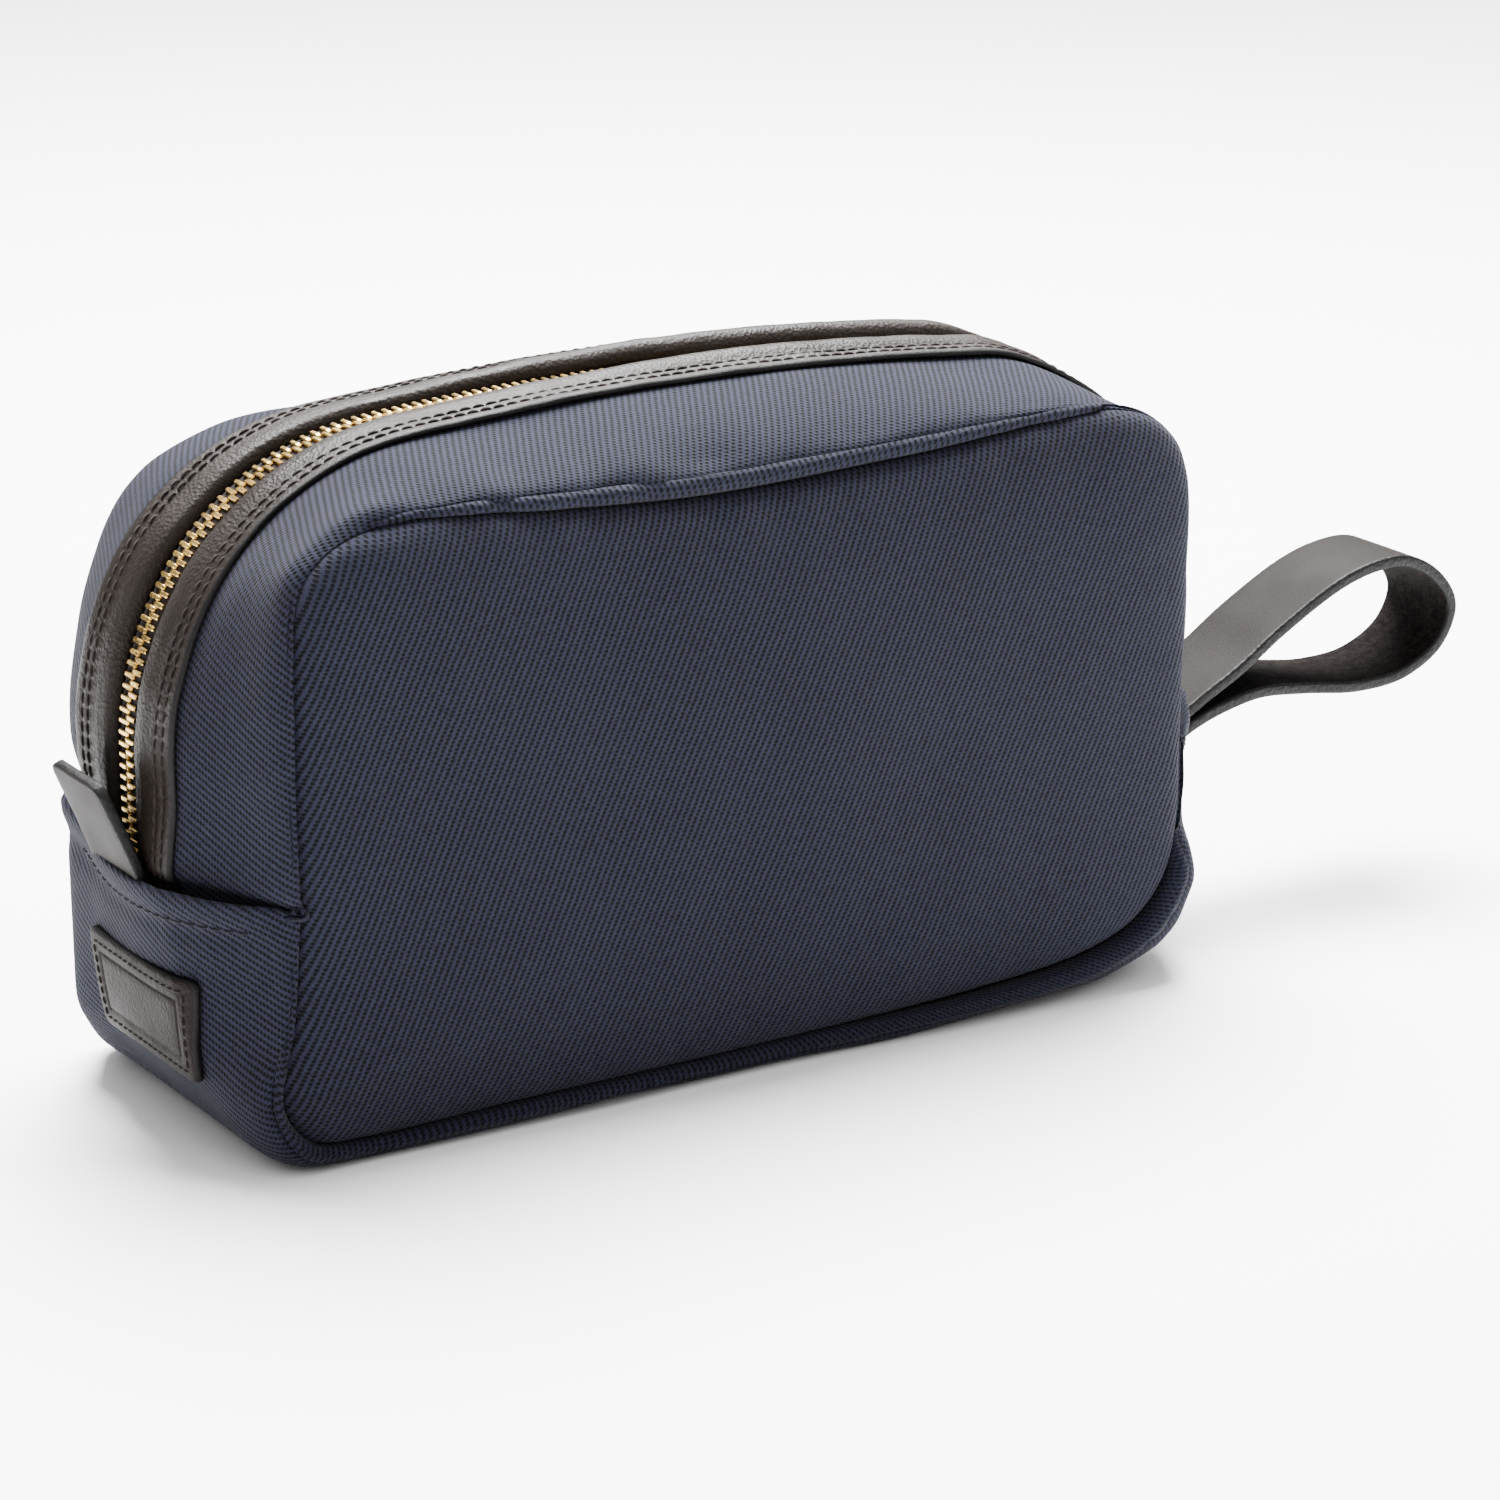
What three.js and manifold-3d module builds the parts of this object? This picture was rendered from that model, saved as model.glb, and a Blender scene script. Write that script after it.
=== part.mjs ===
// Soft wash bag with a zipped top, leather trim and a leather wrist strap.
// Millimetres, +Z up. X runs along the bag, the front panel faces -Y, and the
// origin is on the resting surface under the middle of the bag.
import * as THREE from 'three';
import * as BufferGeometryUtils from 'three/addons/utils/BufferGeometryUtils.js';
import Module from 'manifold-3d';

const wasm = await Module();
wasm.setup();

// ---- driving dimensions ----
const SEAM_Y = 46;             // the panel seams lie this far either side of the zip
const FOLD_Z = 60;             // height of the folded edge of the lower gusset
const GAP = 0.35;              // clearance kept between neighbouring pieces
const CLOTH = 1.6;             // outer twill with its backing
const LINING = 0.8;
const PANEL_BULGE = 4.5;       // crown of the large panels
const PANEL_CENTRE = { x: 0, z: 74 };

const ZIP_RADIUS = 65.5;       // shoulder bend of the zip, at the top of its teeth
const SHOULDER = { x: 70, z: 88 };
const CROWN_RADIUS = 680;      // gentle crown between the two shoulders
const CLOTH_OVER_TEETH = 1.6;  // cloth surface above the top of the teeth

const TEETH = { inner: 0.7, outer: 3, depth: 2.3 };
const TAPE = { inner: 3.35, outer: 17, thick: 0.7, drop: 2.4 };
const RIDGE = 2.6;             // ridge of the rolled leather above the cloth
const BINDING_OUTER = 19.2;
const CLOTH_EDGE = 9.6;        // the top cloth ends under the binding
const SLIDER = { length: 11, halfWidth: 4.8, plate: 1.05, clear: 0.45, z: 88 };
const PULLER = { length: 23, halfWidth: 3, thick: 1.2, rise: 2.75, arm: 1.3 };
const STOP_LENGTH = 2.8;
const CHAIN_START_Z = 66;      // left end of the teeth
const CHAIN_END_Z = 81;        // right end of the teeth

const STRAP = { width: 25, root: new THREE.Vector2(142.4, 49.4), nose: 2.9 };
const TAB = { width: 25, thick: 2.6, length: 26, lean: 19, root: new THREE.Vector2(-141.3, 60.8) };
const LABEL = { width: 47, thick: 1.5, lift: 1.5, top: 42, bottom: 19 };
const SEAM_TAPE = { inner: 10.3, outer: 3.4, near: 42.7, far: 44.5 };

const ALONG = 40;              // steps along the cloth, tape and binding
const ALONG_LINING = 24;
const ALONG_TEETH = 56;        // finer, because the slider runs close to the teeth
const RING = 44;               // steps round a panel

// ---- finishes ----
const finish = (color, roughness, metalness = 0) =>
  new THREE.MeshStandardMaterial({ color, roughness, metalness });
const NAVY = finish(0x232f4e, 0.95);
const LINING_CLOTH = finish(0x75644f, 0.85);
const LEATHER = finish(0x3b2c25, 0.55);
const STRAP_BROWN = finish(0x4a403b, 0.6);
const TAPE_BROWN = finish(0x2a1c1a, 0.9);
const BRASS = finish(0xc79a4b, 0.3, 1);

// ---- curves in the XZ plane, each running over the top first ----
const spline = (points) => new THREE.CatmullRomCurve3(points, false, 'centripetal');
const planar = (points) => spline(points.map(([x, z]) => new THREE.Vector3(x, 0, z)));

const seamTop = planar([
  [-119, FOLD_Z], [-119.3, 95], [-117.3, 127], [-109.5, 138], [-93, 143.2], [-50, 141.3],
  [-15, 140], [40, 141.2], [98, 143.6], [111.5, 138], [118.4, 126], [119, 95], [118.5, FOLD_Z],
]);

// each lower station pairs a seam point with the middle of the gusset, and gives
// half the width over which the cloth lies flat there
const LOWER = [
  { seam: [118.5, FOLD_Z], mid: [137.3, FOLD_Z], flat: 0 },
  { seam: [118.3, 42], mid: [137.8, 44], flat: 0 },
  { seam: [115.3, 27], mid: [134.5, 24], flat: 0 },
  { seam: [106, 16], mid: [125, 8], flat: 8 },
  { seam: [90, 10], mid: [104, 0.8], flat: 20 },
  { seam: [60, 7], mid: [74, 0], flat: 30 },
  { seam: [0, 5.6], mid: [0, 0], flat: 33 },
  { seam: [-70, 6.8], mid: [-74, 0], flat: 33 },
  { seam: [-104, 7.5], mid: [-106, 0], flat: 28 },
  { seam: [-119.5, 12.5], mid: [-124, 3], flat: 14 },
  { seam: [-125.5, 24], mid: [-133.5, 15], flat: 4 },
  { seam: [-121.8, 39], mid: [-138, 37], flat: 0 },
  { seam: [-119, FOLD_Z], mid: [-138.4, FOLD_Z], flat: 0 },
];
const seamLower = planar(LOWER.map((station) => station.seam));
const midLower = spline(LOWER.map(({ mid, flat }) => new THREE.Vector3(mid[0], flat, mid[1])));

// top of the teeth: straight end, shoulder arc, crown arc, shoulder arc, straight end
const crownAngle = Math.asin(SHOULDER.x / (CROWN_RADIUS - ZIP_RADIUS));
const crownCentreZ = SHOULDER.z - (CROWN_RADIUS - ZIP_RADIUS) * Math.cos(crownAngle);
const straight = SHOULDER.z - FOLD_Z;
const shoulderArc = ZIP_RADIUS * (Math.PI / 2 - crownAngle);
const crownArc = 2 * CROWN_RADIUS * crownAngle;
const zipLength = 2 * (straight + shoulderArc) + crownArc;
const endX = SHOULDER.x + ZIP_RADIUS;

// a point on the zip path and its outward normal, for a distance from the middle of the crown
function zipAt(distance) {
  const side = Math.sign(distance) || 1;
  let rest = Math.abs(distance) - crownArc / 2;
  if (rest <= 0) {
    const angle = Math.abs(distance) / CROWN_RADIUS;
    const normal = { x: side * Math.sin(angle), z: Math.cos(angle) };
    return { x: CROWN_RADIUS * normal.x, z: crownCentreZ + CROWN_RADIUS * normal.z, normal };
  }
  if (rest <= shoulderArc) {
    const angle = crownAngle + rest / ZIP_RADIUS;
    const normal = { x: side * Math.sin(angle), z: Math.cos(angle) };
    return {
      x: side * SHOULDER.x + ZIP_RADIUS * normal.x,
      z: SHOULDER.z + ZIP_RADIUS * normal.z,
      normal,
    };
  }
  rest -= shoulderArc;
  return { x: side * endX, z: SHOULDER.z - rest, normal: { x: side, z: 0 } };
}

// ---- the gusset surface: station(u) holds a seam point, a middle point and a normal ----
function topStation(u) {
  const zip = zipAt((u - 0.5) * zipLength);
  const seam = seamTop.getPointAt(u);
  const mid = {
    x: zip.x + zip.normal.x * CLOTH_OVER_TEETH,
    z: zip.z + zip.normal.z * CLOTH_OVER_TEETH,
  };
  return { seam, mid, normal: zip.normal, flat: 0 };
}

function lowerStation(u) {
  const seam = seamLower.getPoint(u);
  const mid = midLower.getPoint(u);
  const tangent = midLower.getTangent(u);
  const length = Math.hypot(tangent.x, tangent.z);
  const normal = { x: -tangent.z / length, z: tangent.x / length };
  return { seam, mid: { x: mid.x, z: Math.max(0, mid.z) }, normal, flat: Math.max(0, mid.y) };
}

// y is measured across the gusset and rise is measured out from the cloth surface
function gussetPoint({ seam, mid, normal, flat }, y, rise) {
  const reach = Math.min(1, Math.max(0, Math.abs(y) - flat) / (SEAM_Y - flat));
  const share = (1 - reach ** 2.3) ** 0.62;
  return new THREE.Vector3(
    seam.x + (mid.x - seam.x) * share + normal.x * rise,
    y,
    seam.z + (mid.z - seam.z) * share + normal.z * rise,
  );
}

const range = (count) => Array.from({ length: count }, (_, i) => i);
const stations = (at, from, to, steps) =>
  range(steps + 1).map((i) => at(from + (to - from) * i / steps));
const zipShare = (distance) => 0.5 + distance / zipLength;
const endDistance = (z) => zipLength / 2 - (z - FOLD_Z);

// ---- closed meshes ----
function solid(vertices, faces) {
  const geometry = new THREE.BufferGeometry();
  geometry.setAttribute('position', new THREE.Float32BufferAttribute(
    vertices.flatMap((v) => [v.x, v.y, v.z]), 3));
  let volume = 0;
  for (const [a, b, c] of faces) {
    volume += vertices[a].dot(vertices[b].clone().cross(vertices[c]));
  }
  const outward = volume > 0 ? faces : faces.map(([a, b, c]) => [a, c, b]);
  geometry.setIndex(outward.flat());
  return geometry;
}

function quads(rowA, rowB, closed) {
  const count = closed ? rowA.length : rowA.length - 1;
  return range(count).flatMap((i) => {
    const j = (i + 1) % rowA.length;
    return [[rowA[i], rowA[j], rowB[j]], [rowA[i], rowB[j], rowB[i]]];
  });
}

// sweeps a closed section of [y, rise] points along stations and caps both ends
function loft(path, section) {
  const vertices = path.flatMap((at) => section.map(([y, rise]) => gussetPoint(at, y, rise)));
  const row = (i) => range(section.length).map((j) => i * section.length + j);
  const faces = range(path.length - 1).flatMap((i) => quads(row(i), row(i + 1), true));
  const outline = section.map(([y, rise]) => new THREE.Vector2(y, rise));
  const last = (path.length - 1) * section.length;
  const clockwise = THREE.ShapeUtils.isClockWise(outline);
  for (const [a, b, c] of THREE.ShapeUtils.triangulateShape(outline, [])) {
    const [start, end] = clockwise ? [[a, b, c], [a, c, b]] : [[a, c, b], [a, b, c]];
    faces.push(start);
    faces.push(end.map((index) => last + index));
  }
  return solid(vertices, faces);
}

const layer = (ys, outer, inner) => [
  ...ys.map((y) => [y, outer]), ...ys.toReversed().map((y) => [y, inner]),
];
const mirrored = (section) => section.map(([y, rise]) => [-y, rise]);

// the panel seam as a closed ring, moved inwards by an inset
function seamRing(inset) {
  const half = RING / 2;
  return range(RING).map((i) => {
    const curve = i < half ? seamTop : seamLower;
    const u = (i % half) / half;
    const point = curve.getPointAt(u);
    const tangent = curve.getTangentAt(u);
    return { x: point.x + tangent.z * inset, z: point.z - tangent.x * inset };
  });
}

// a crowned panel on the side given by the sign of side
function panel(side, inset, base, thickness, shares) {
  const ring = seamRing(inset);
  const vertices = [];
  const rows = [base, base + thickness].map((y) => shares.map((share) => {
    const first = vertices.length;
    const crown = PANEL_BULGE * (1 - share ** 3);
    ring.forEach((p) => vertices.push(new THREE.Vector3(
      PANEL_CENTRE.x + (p.x - PANEL_CENTRE.x) * share,
      side * (y + crown),
      PANEL_CENTRE.z + (p.z - PANEL_CENTRE.z) * share)));
    return range(ring.length).map((i) => first + i);
  }));
  const centres = [base, base + thickness].map((y) => vertices.push(
    new THREE.Vector3(PANEL_CENTRE.x, side * (y + PANEL_BULGE), PANEL_CENTRE.z)) - 1);
  const [inner, outer] = rows;
  const faces = quads(inner[0], outer[0], true);
  range(shares.length - 1).forEach((k) => {
    faces.push(...quads(outer[k], outer[k + 1], true));
    faces.push(...quads(inner[k + 1], inner[k], true));
  });
  range(ring.length).forEach((i) => {
    const j = (i + 1) % ring.length;
    const k = shares.length - 1;
    faces.push([outer[k][i], outer[k][j], centres[1]]);
    faces.push([inner[k][j], inner[k][i], centres[0]]);
  });
  return solid(vertices, faces);
}

// a band standing inwards all round a panel seam
function seamBand(side) {
  const { inner, outer, near, far } = SEAM_TAPE;
  const corners = [[outer, near], [outer, far], [inner, far], [inner, near]];
  const vertices = corners.flatMap(([inset, y]) =>
    seamRing(inset).map((p) => new THREE.Vector3(p.x, side * y, p.z)));
  const row = (k) => range(RING).map((i) => k * RING + i);
  const faces = range(4).flatMap((k) => quads(row(k), row((k + 1) % 4), true));
  return solid(vertices, faces);
}

// ---- the object ----
const group = new THREE.Group();
function add(name, geometry, material) {
  const mesh = new THREE.Mesh(geometry, material);
  mesh.name = name;
  group.add(mesh);
  return mesh;
}
const SIDES = [{ name: 'front', sign: -1 }, { name: 'back', sign: 1 }];

// large panels with their linings and bound seams
for (const { name, sign } of SIDES) {
  add(`${name}_panel`, panel(sign, 0, SEAM_Y + GAP / 2, CLOTH, [1, 0.88, 0.6, 0.3]), NAVY);
  const liningBase = SEAM_Y - GAP - LINING;
  add(`${name}_lining`, panel(sign, 3, liningBase, LINING, [1, 0.88, 0.5]), LINING_CLOTH);
  add(`${name}_seam_binding`, seamBand(sign), LINING_CLOTH);
}

// lower gusset: one strip from the fold on one end, underneath, to the fold on the other
const EDGE = SEAM_Y - GAP / 2;
const acrossHalf = [0, 14, 24, 34, 40, 44, EDGE];
const across = [...acrossHalf.slice(1).toReversed().map((y) => -y), ...acrossHalf];
const LINING_EDGE = SEAM_TAPE.near - GAP;
const liningAcross = [-LINING_EDGE, -37, -24, 0, 24, 37, LINING_EDGE];
const foldGap = 0.003;
const lowerDrop = CLOTH + 3 * GAP;
add('lower_gusset',
  loft(stations(lowerStation, foldGap, 1 - foldGap, ALONG), layer(across, 0, -CLOTH)), NAVY);
add('lower_lining', loft(stations(lowerStation, 0.01, 0.99, ALONG_LINING),
  layer(liningAcross, -lowerDrop, -lowerDrop - LINING)), LINING_CLOTH);

// top gusset halves with zip tape, leather binding and rows of teeth
const clothHalf = [CLOTH_EDGE, 19, 29, 37, 43, EDGE];
const liningHalf = [11, 24, 35, LINING_EDGE];
const liningDrop = CLOTH + TAPE.thick + 4 * GAP;
const tapeSection = [
  [TAPE.inner, -TAPE.drop], [CLOTH_EDGE, -TAPE.drop], [TAPE.outer, -CLOTH - GAP],
  [TAPE.outer, -CLOTH - GAP - TAPE.thick], [CLOTH_EDGE, -TAPE.drop - TAPE.thick],
  [TAPE.inner, -TAPE.drop - TAPE.thick],
];
const bindingSection = [
  [BINDING_OUTER, GAP], [BINDING_OUTER, 1.5], [14, 1.9], [10.2, RIDGE], [8.4, RIDGE],
  [6.6, 1.2], [5.5, -TAPE.drop + GAP], [6.8, -TAPE.drop + GAP], [8.2, 0.4], [9.4, GAP],
];
const chainSection = [
  [TEETH.inner, -CLOTH_OVER_TEETH], [TEETH.outer, -CLOTH_OVER_TEETH],
  [TEETH.outer, -CLOTH_OVER_TEETH - TEETH.depth], [TEETH.inner, -CLOTH_OVER_TEETH - TEETH.depth],
];
const chainStart = zipShare(-endDistance(CHAIN_START_Z));
const chainEnd = zipShare(endDistance(CHAIN_END_Z));
const topStopAt = zipShare(endDistance(CHAIN_END_Z - GAP));
const stopShare = STOP_LENGTH / zipLength;

for (const { name, sign } of SIDES) {
  const facing = (section) => (sign > 0 ? section : mirrored(section));
  add(`top_gusset_${name}`, loft(stations(topStation, foldGap, 1 - foldGap, ALONG),
    facing(layer(clothHalf, 0, -CLOTH))), NAVY);
  add(`top_lining_${name}`, loft(stations(topStation, 0.012, 0.988, ALONG_LINING),
    facing(layer(liningHalf, -liningDrop, -liningDrop - LINING))), LINING_CLOTH);
  add(`zip_tape_${name}`, loft(stations(topStation, 0.006, 0.994, ALONG),
    facing(tapeSection)), TAPE_BROWN);
  add(`zip_binding_${name}`, loft(stations(topStation, 0.012, 0.988, ALONG),
    facing(bindingSection)), LEATHER);
  add(`zip_chain_${name}`, loft(stations(topStation, chainStart, chainEnd, ALONG_TEETH),
    facing(chainSection)), BRASS);
  add(`zip_top_stop_${name}`, loft(stations(topStation, topStopAt, topStopAt + stopShare, 1),
    facing(chainSection)), BRASS);
}
const bottomStopEnd = chainStart - GAP / zipLength;
add('zip_bottom_stop', loft(stations(topStation, bottomStopEnd - stopShare, bottomStopEnd, 1), [
  [-TEETH.outer, -CLOTH_OVER_TEETH], [TEETH.outer, -CLOTH_OVER_TEETH],
  [TEETH.outer, -CLOTH_OVER_TEETH - TEETH.depth], [-TEETH.outer, -CLOTH_OVER_TEETH - TEETH.depth],
]), BRASS);

// ---- slider: two plates round the teeth, a web between them and a bridge on top ----
function toManifold(geometry) {
  const bare = geometry.clone();
  bare.deleteAttribute('normal');
  bare.deleteAttribute('uv');
  const merged = BufferGeometryUtils.mergeVertices(bare, 1e-4);
  return new wasm.Manifold(new wasm.Mesh({
    numProp: 3,
    vertProperties: new Float32Array(merged.attributes.position.array),
    triVerts: new Uint32Array(merged.index.array),
  }));
}
function fromManifold(body) {
  const mesh = body.getMesh();
  const geometry = new THREE.BufferGeometry();
  geometry.setAttribute('position', new THREE.BufferAttribute(new Float32Array(mesh.vertProperties), 3));
  geometry.setIndex(new THREE.BufferAttribute(new Uint32Array(mesh.triVerts), 1));
  return geometry;
}
// a box given by its limits: out from the teeth, across the zip and along it
function slab([outA, outB], [acrossA, acrossB], [alongA, alongB]) {
  return toManifold(new THREE.BoxGeometry(outB - outA, acrossB - acrossA, alongB - alongA)
    .translate((outA + outB) / 2, (acrossA + acrossB) / 2, (alongA + alongB) / 2));
}
const topPlate = [SLIDER.clear, SLIDER.clear + SLIDER.plate];
const underside = -TEETH.depth - SLIDER.clear;
const bottomPlate = [underside - SLIDER.plate, underside];
const halfLength = SLIDER.length / 2;
const full = [-SLIDER.halfWidth, SLIDER.halfWidth];
const bridgeTop = PULLER.rise + 1.1 + 0.9;
const sliderSlabs = [
  slab(topPlate, full, [-halfLength, halfLength]),
  slab(bottomPlate, full, [-halfLength, halfLength]),
  slab([bottomPlate[0] + 0.2, topPlate[1] - 0.2], [-0.35, 0.35], [halfLength - 5, halfLength - 1]),
  slab([topPlate[1] - 0.2, bridgeTop], [-1.2, 1.2], [-4.4, -3.4]),
  slab([topPlate[1] - 0.2, bridgeTop], [-1.2, 1.2], [3.4, 4.4]),
  slab([bridgeTop - 0.9, bridgeTop], [-1.2, 1.2], [-4.4, 4.4]),
];
for (const sign of [-1, 1]) {
  const flange = [sign * SLIDER.halfWidth, sign * (SLIDER.halfWidth - 1)].sort((a, b) => a - b);
  sliderSlabs.push(slab([-0.15, topPlate[1] - 0.2], flange, [-halfLength, halfLength]));
}
const slider = add('zip_slider', fromManifold(sliderSlabs.reduce((a, b) => a.add(b))), BRASS);
slider.position.set(endX, 0, SLIDER.z);

// ---- puller: a flat tag whose crossbar passes under the bridge ----
function pullerOutline() {
  const { halfWidth, length, arm } = PULLER;
  const outline = new THREE.Shape();
  outline.moveTo(-halfWidth, 0.6);
  outline.lineTo(-halfWidth, -length + halfWidth);
  outline.absarc(0, -length + halfWidth, halfWidth, Math.PI, 2 * Math.PI, false);
  outline.lineTo(halfWidth, 0.6);
  outline.closePath();
  const window = new THREE.Path();
  const inner = halfWidth - arm;
  window.moveTo(-inner, -0.6);
  window.lineTo(inner, -0.6);
  window.lineTo(inner, -5.6);
  window.lineTo(-inner, -5.6);
  window.closePath();
  outline.holes.push(window);
  return outline;
}
const pullerBody = new THREE.ExtrudeGeometry(pullerOutline(), {
  depth: PULLER.thick, bevelEnabled: false, curveSegments: 8,
}).translate(0, 0, -PULLER.thick / 2).rotateX(Math.PI / 2).rotateZ(Math.PI / 2);
const puller = add('zip_puller', pullerBody, BRASS);
puller.position.set(endX + PULLER.rise, 0, SLIDER.z);

// ---- flat leather shapes drawn in the XZ plane and given a width along Y ----
function leatherStrip(shape, width) {
  return new THREE.ExtrudeGeometry(shape, { depth: width, bevelEnabled: false, curveSegments: 6 })
    .translate(0, 0, -width / 2).rotateX(Math.PI / 2);
}

// wrist strap: one strip folded into a loop, its two ends together at the root
function strapOutline() {
  const { root, nose } = STRAP;
  const slope = THREE.MathUtils.degToRad(25);
  const side = new THREE.Vector2(-Math.sin(slope), Math.cos(slope)).multiplyScalar(nose);
  const upper = root.clone().add(side);
  const lower = root.clone().sub(side);
  const around = [
    [161, 63.4], [173.5, 71.4], [192.5, 81.2], [205, 84.2], [215, 84], [225.8, 78], [231.2, 68.6],
    [227.2, 58.2], [215.6, 51.3], [200.2, 49.9], [182, 52.2], [168.3, 53.2], [156.3, 51],
  ].map(([x, z]) => new THREE.Vector2(x, z));
  const outline = new THREE.Shape();
  outline.moveTo(upper.x, upper.y);
  outline.splineThru([...around, lower]);
  outline.absarc(root.x, root.y, nose, slope - Math.PI / 2, slope + Math.PI / 2, true);
  const eye = new THREE.Path();
  eye.moveTo(155.5, 54.6);
  eye.splineThru([
    [168.2, 55.9], [182.3, 54.8], [200.3, 52.5], [214.8, 53.8], [225.1, 60], [228.6, 68.7],
    [223.9, 76.3], [214.3, 81.5], [205.3, 81.6], [193.5, 78.8], [175, 69.2], [162.3, 61.2],
    [155.5, 54.6],
  ].map(([x, z]) => new THREE.Vector2(x, z)));
  outline.holes.push(eye);
  return outline;
}
add('wrist_strap', leatherStrip(strapOutline(), STRAP.width), STRAP_BROWN);

// end tab: a plate with rounded free corners, standing out of the fold
function tabOutline() {
  const half = TAB.width / 2;
  const corner = 4;
  const shape = new THREE.Shape();
  shape.moveTo(-half, 0);
  shape.lineTo(half, 0);
  shape.lineTo(half, TAB.length - corner);
  shape.absarc(half - corner, TAB.length - corner, corner, 0, Math.PI / 2, false);
  shape.absarc(corner - half, TAB.length - corner, corner, Math.PI / 2, Math.PI, false);
  shape.closePath();
  return shape;
}
const tab = add('end_tab', new THREE.ExtrudeGeometry(tabOutline(), {
  depth: TAB.thick, bevelEnabled: false, curveSegments: 5,
}).translate(0, 0, -TAB.thick / 2).rotateX(Math.PI / 2).rotateZ(Math.PI / 2), STRAP_BROWN);
tab.position.set(TAB.root.x, 0, TAB.root.y);
tab.rotation.y = -THREE.MathUtils.degToRad(TAB.lean);

// label: a leather patch that follows the end of the lower gusset
function lowerShareAt(height) {
  let low = 0.75;
  let high = 1;
  while (high - low > 1e-4) {
    const middle = (low + high) / 2;
    if (midLower.getPoint(middle).z < height) low = middle;
    else high = middle;
  }
  return low;
}
const labelHalf = LABEL.width / 2;
const labelAcross = [-labelHalf, -14, 0, 14, labelHalf];
add('label_patch', loft(
  stations(lowerStation, lowerShareAt(LABEL.bottom), lowerShareAt(LABEL.top), 8),
  layer(labelAcross, LABEL.lift + LABEL.thick, LABEL.lift)), LEATHER);

export default group;
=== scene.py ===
# Looks of the wash bag, built in metres in the frame of the CAD model.
import math
import random

import bmesh
import bpy
import numpy as np
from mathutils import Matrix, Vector, noise


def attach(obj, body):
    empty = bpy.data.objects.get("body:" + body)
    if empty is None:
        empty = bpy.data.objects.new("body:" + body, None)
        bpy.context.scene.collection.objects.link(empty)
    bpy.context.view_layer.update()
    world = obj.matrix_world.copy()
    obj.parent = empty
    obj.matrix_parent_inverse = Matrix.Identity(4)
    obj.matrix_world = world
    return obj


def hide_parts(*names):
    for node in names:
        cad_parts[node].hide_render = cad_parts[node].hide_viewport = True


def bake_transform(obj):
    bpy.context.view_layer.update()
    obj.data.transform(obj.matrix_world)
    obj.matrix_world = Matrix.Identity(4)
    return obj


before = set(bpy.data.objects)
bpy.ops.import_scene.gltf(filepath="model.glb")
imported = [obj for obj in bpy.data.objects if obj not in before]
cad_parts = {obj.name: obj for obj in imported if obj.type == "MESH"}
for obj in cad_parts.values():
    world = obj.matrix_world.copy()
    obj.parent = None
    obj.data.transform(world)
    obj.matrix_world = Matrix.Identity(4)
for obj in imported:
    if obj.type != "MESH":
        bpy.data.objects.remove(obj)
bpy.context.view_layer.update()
random.seed(7)

MM = 0.001

# ---- driving sizes, in millimetres like the CAD source ----
SEAM_Y = 46.0             # panel seams either side of the zip
FOLD_Z = 60.0             # folded edge of the lower gusset
ZIP_RADIUS = 65.5         # shoulder bend at the top of the teeth
SHOULDER_X, SHOULDER_Z = 70.0, 88.0
CROWN_RADIUS = 680.0
CLOTH_OVER_TEETH = 1.6
SEAM_DEPTH_Y = 43.6       # bottom of the groove that the seams pull in
TOP_ROLL_Y = 48.2         # furthest reach of the gussets, just before they turn in to the seam
LOWER_ROLL_Y = 51.2
LIP_Y = 47.4              # the same down the left end, where the cloth meets edge to edge
TUCK = 9.0                # the top strip runs this far down behind the fold
TOOTH_PITCH = 2.55
CHAIN_START_Z, CHAIN_END_Z = 66.0, 81.0     # heights of the first and the last tooth
STITCH_PITCH = 3.3
CLOTH_THICK, LINING_THICK = 1.2, 0.6
CLOTH_INNER_Y, LINING_INNER_Y = 9.6, 7.6    # edges of the top strips, under the bindings
STRAP_WIDTH, STRAP_THICK = 25.0, 3.0
TAB_WIDTH, TAB_THICK = 25.0, 2.6
TAB_CORNER = 3.6
LABEL_HALF, LABEL_TOP_Z, LABEL_BOTTOM_Z = 23.5, 43.0, 19.0
LABEL_Y, LABEL_THICK, LABEL_CORNER = -6.0, 2.05, 2.2
MIDDLE = np.array([0.0, 0.0, 74.0])         # a point inside the bag, which outer faces look away from
SIDES = (("front", -1), ("back", 1))


# ---- curves ----
def catmull(points, per_span=24):
    """Centripetal Catmull-Rom through the points, open, as (samples, array)."""
    p = np.array(points, float)
    p = np.vstack([2 * p[0] - p[1], p, 2 * p[-1] - p[-2]])
    out = []
    for i in range(1, len(p) - 2):
        d = [max(np.linalg.norm(p[i + k + 1] - p[i + k]) ** 0.5, 1e-6) for k in (-1, 0, 1)]
        m1 = (p[i] - p[i - 1]) / d[0] - (p[i + 1] - p[i - 1]) / (d[0] + d[1]) + (p[i + 1] - p[i]) / d[1]
        m2 = (p[i + 1] - p[i]) / d[1] - (p[i + 2] - p[i]) / (d[1] + d[2]) + (p[i + 2] - p[i + 1]) / d[2]
        m1, m2 = m1 * d[1], m2 * d[1]
        last = i == len(p) - 3
        for k in range(per_span + (1 if last else 0)):
            t = k / per_span
            out.append((2 * t**3 - 3 * t**2 + 1) * p[i] + (t**3 - 2 * t**2 + t) * m1
                       + (-2 * t**3 + 3 * t**2) * p[i + 1] + (t**3 - t**2) * m2)
    return np.array(out)


def lengths(points):
    return np.concatenate([[0], np.cumsum(np.linalg.norm(np.diff(points, axis=0), axis=1))])


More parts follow.
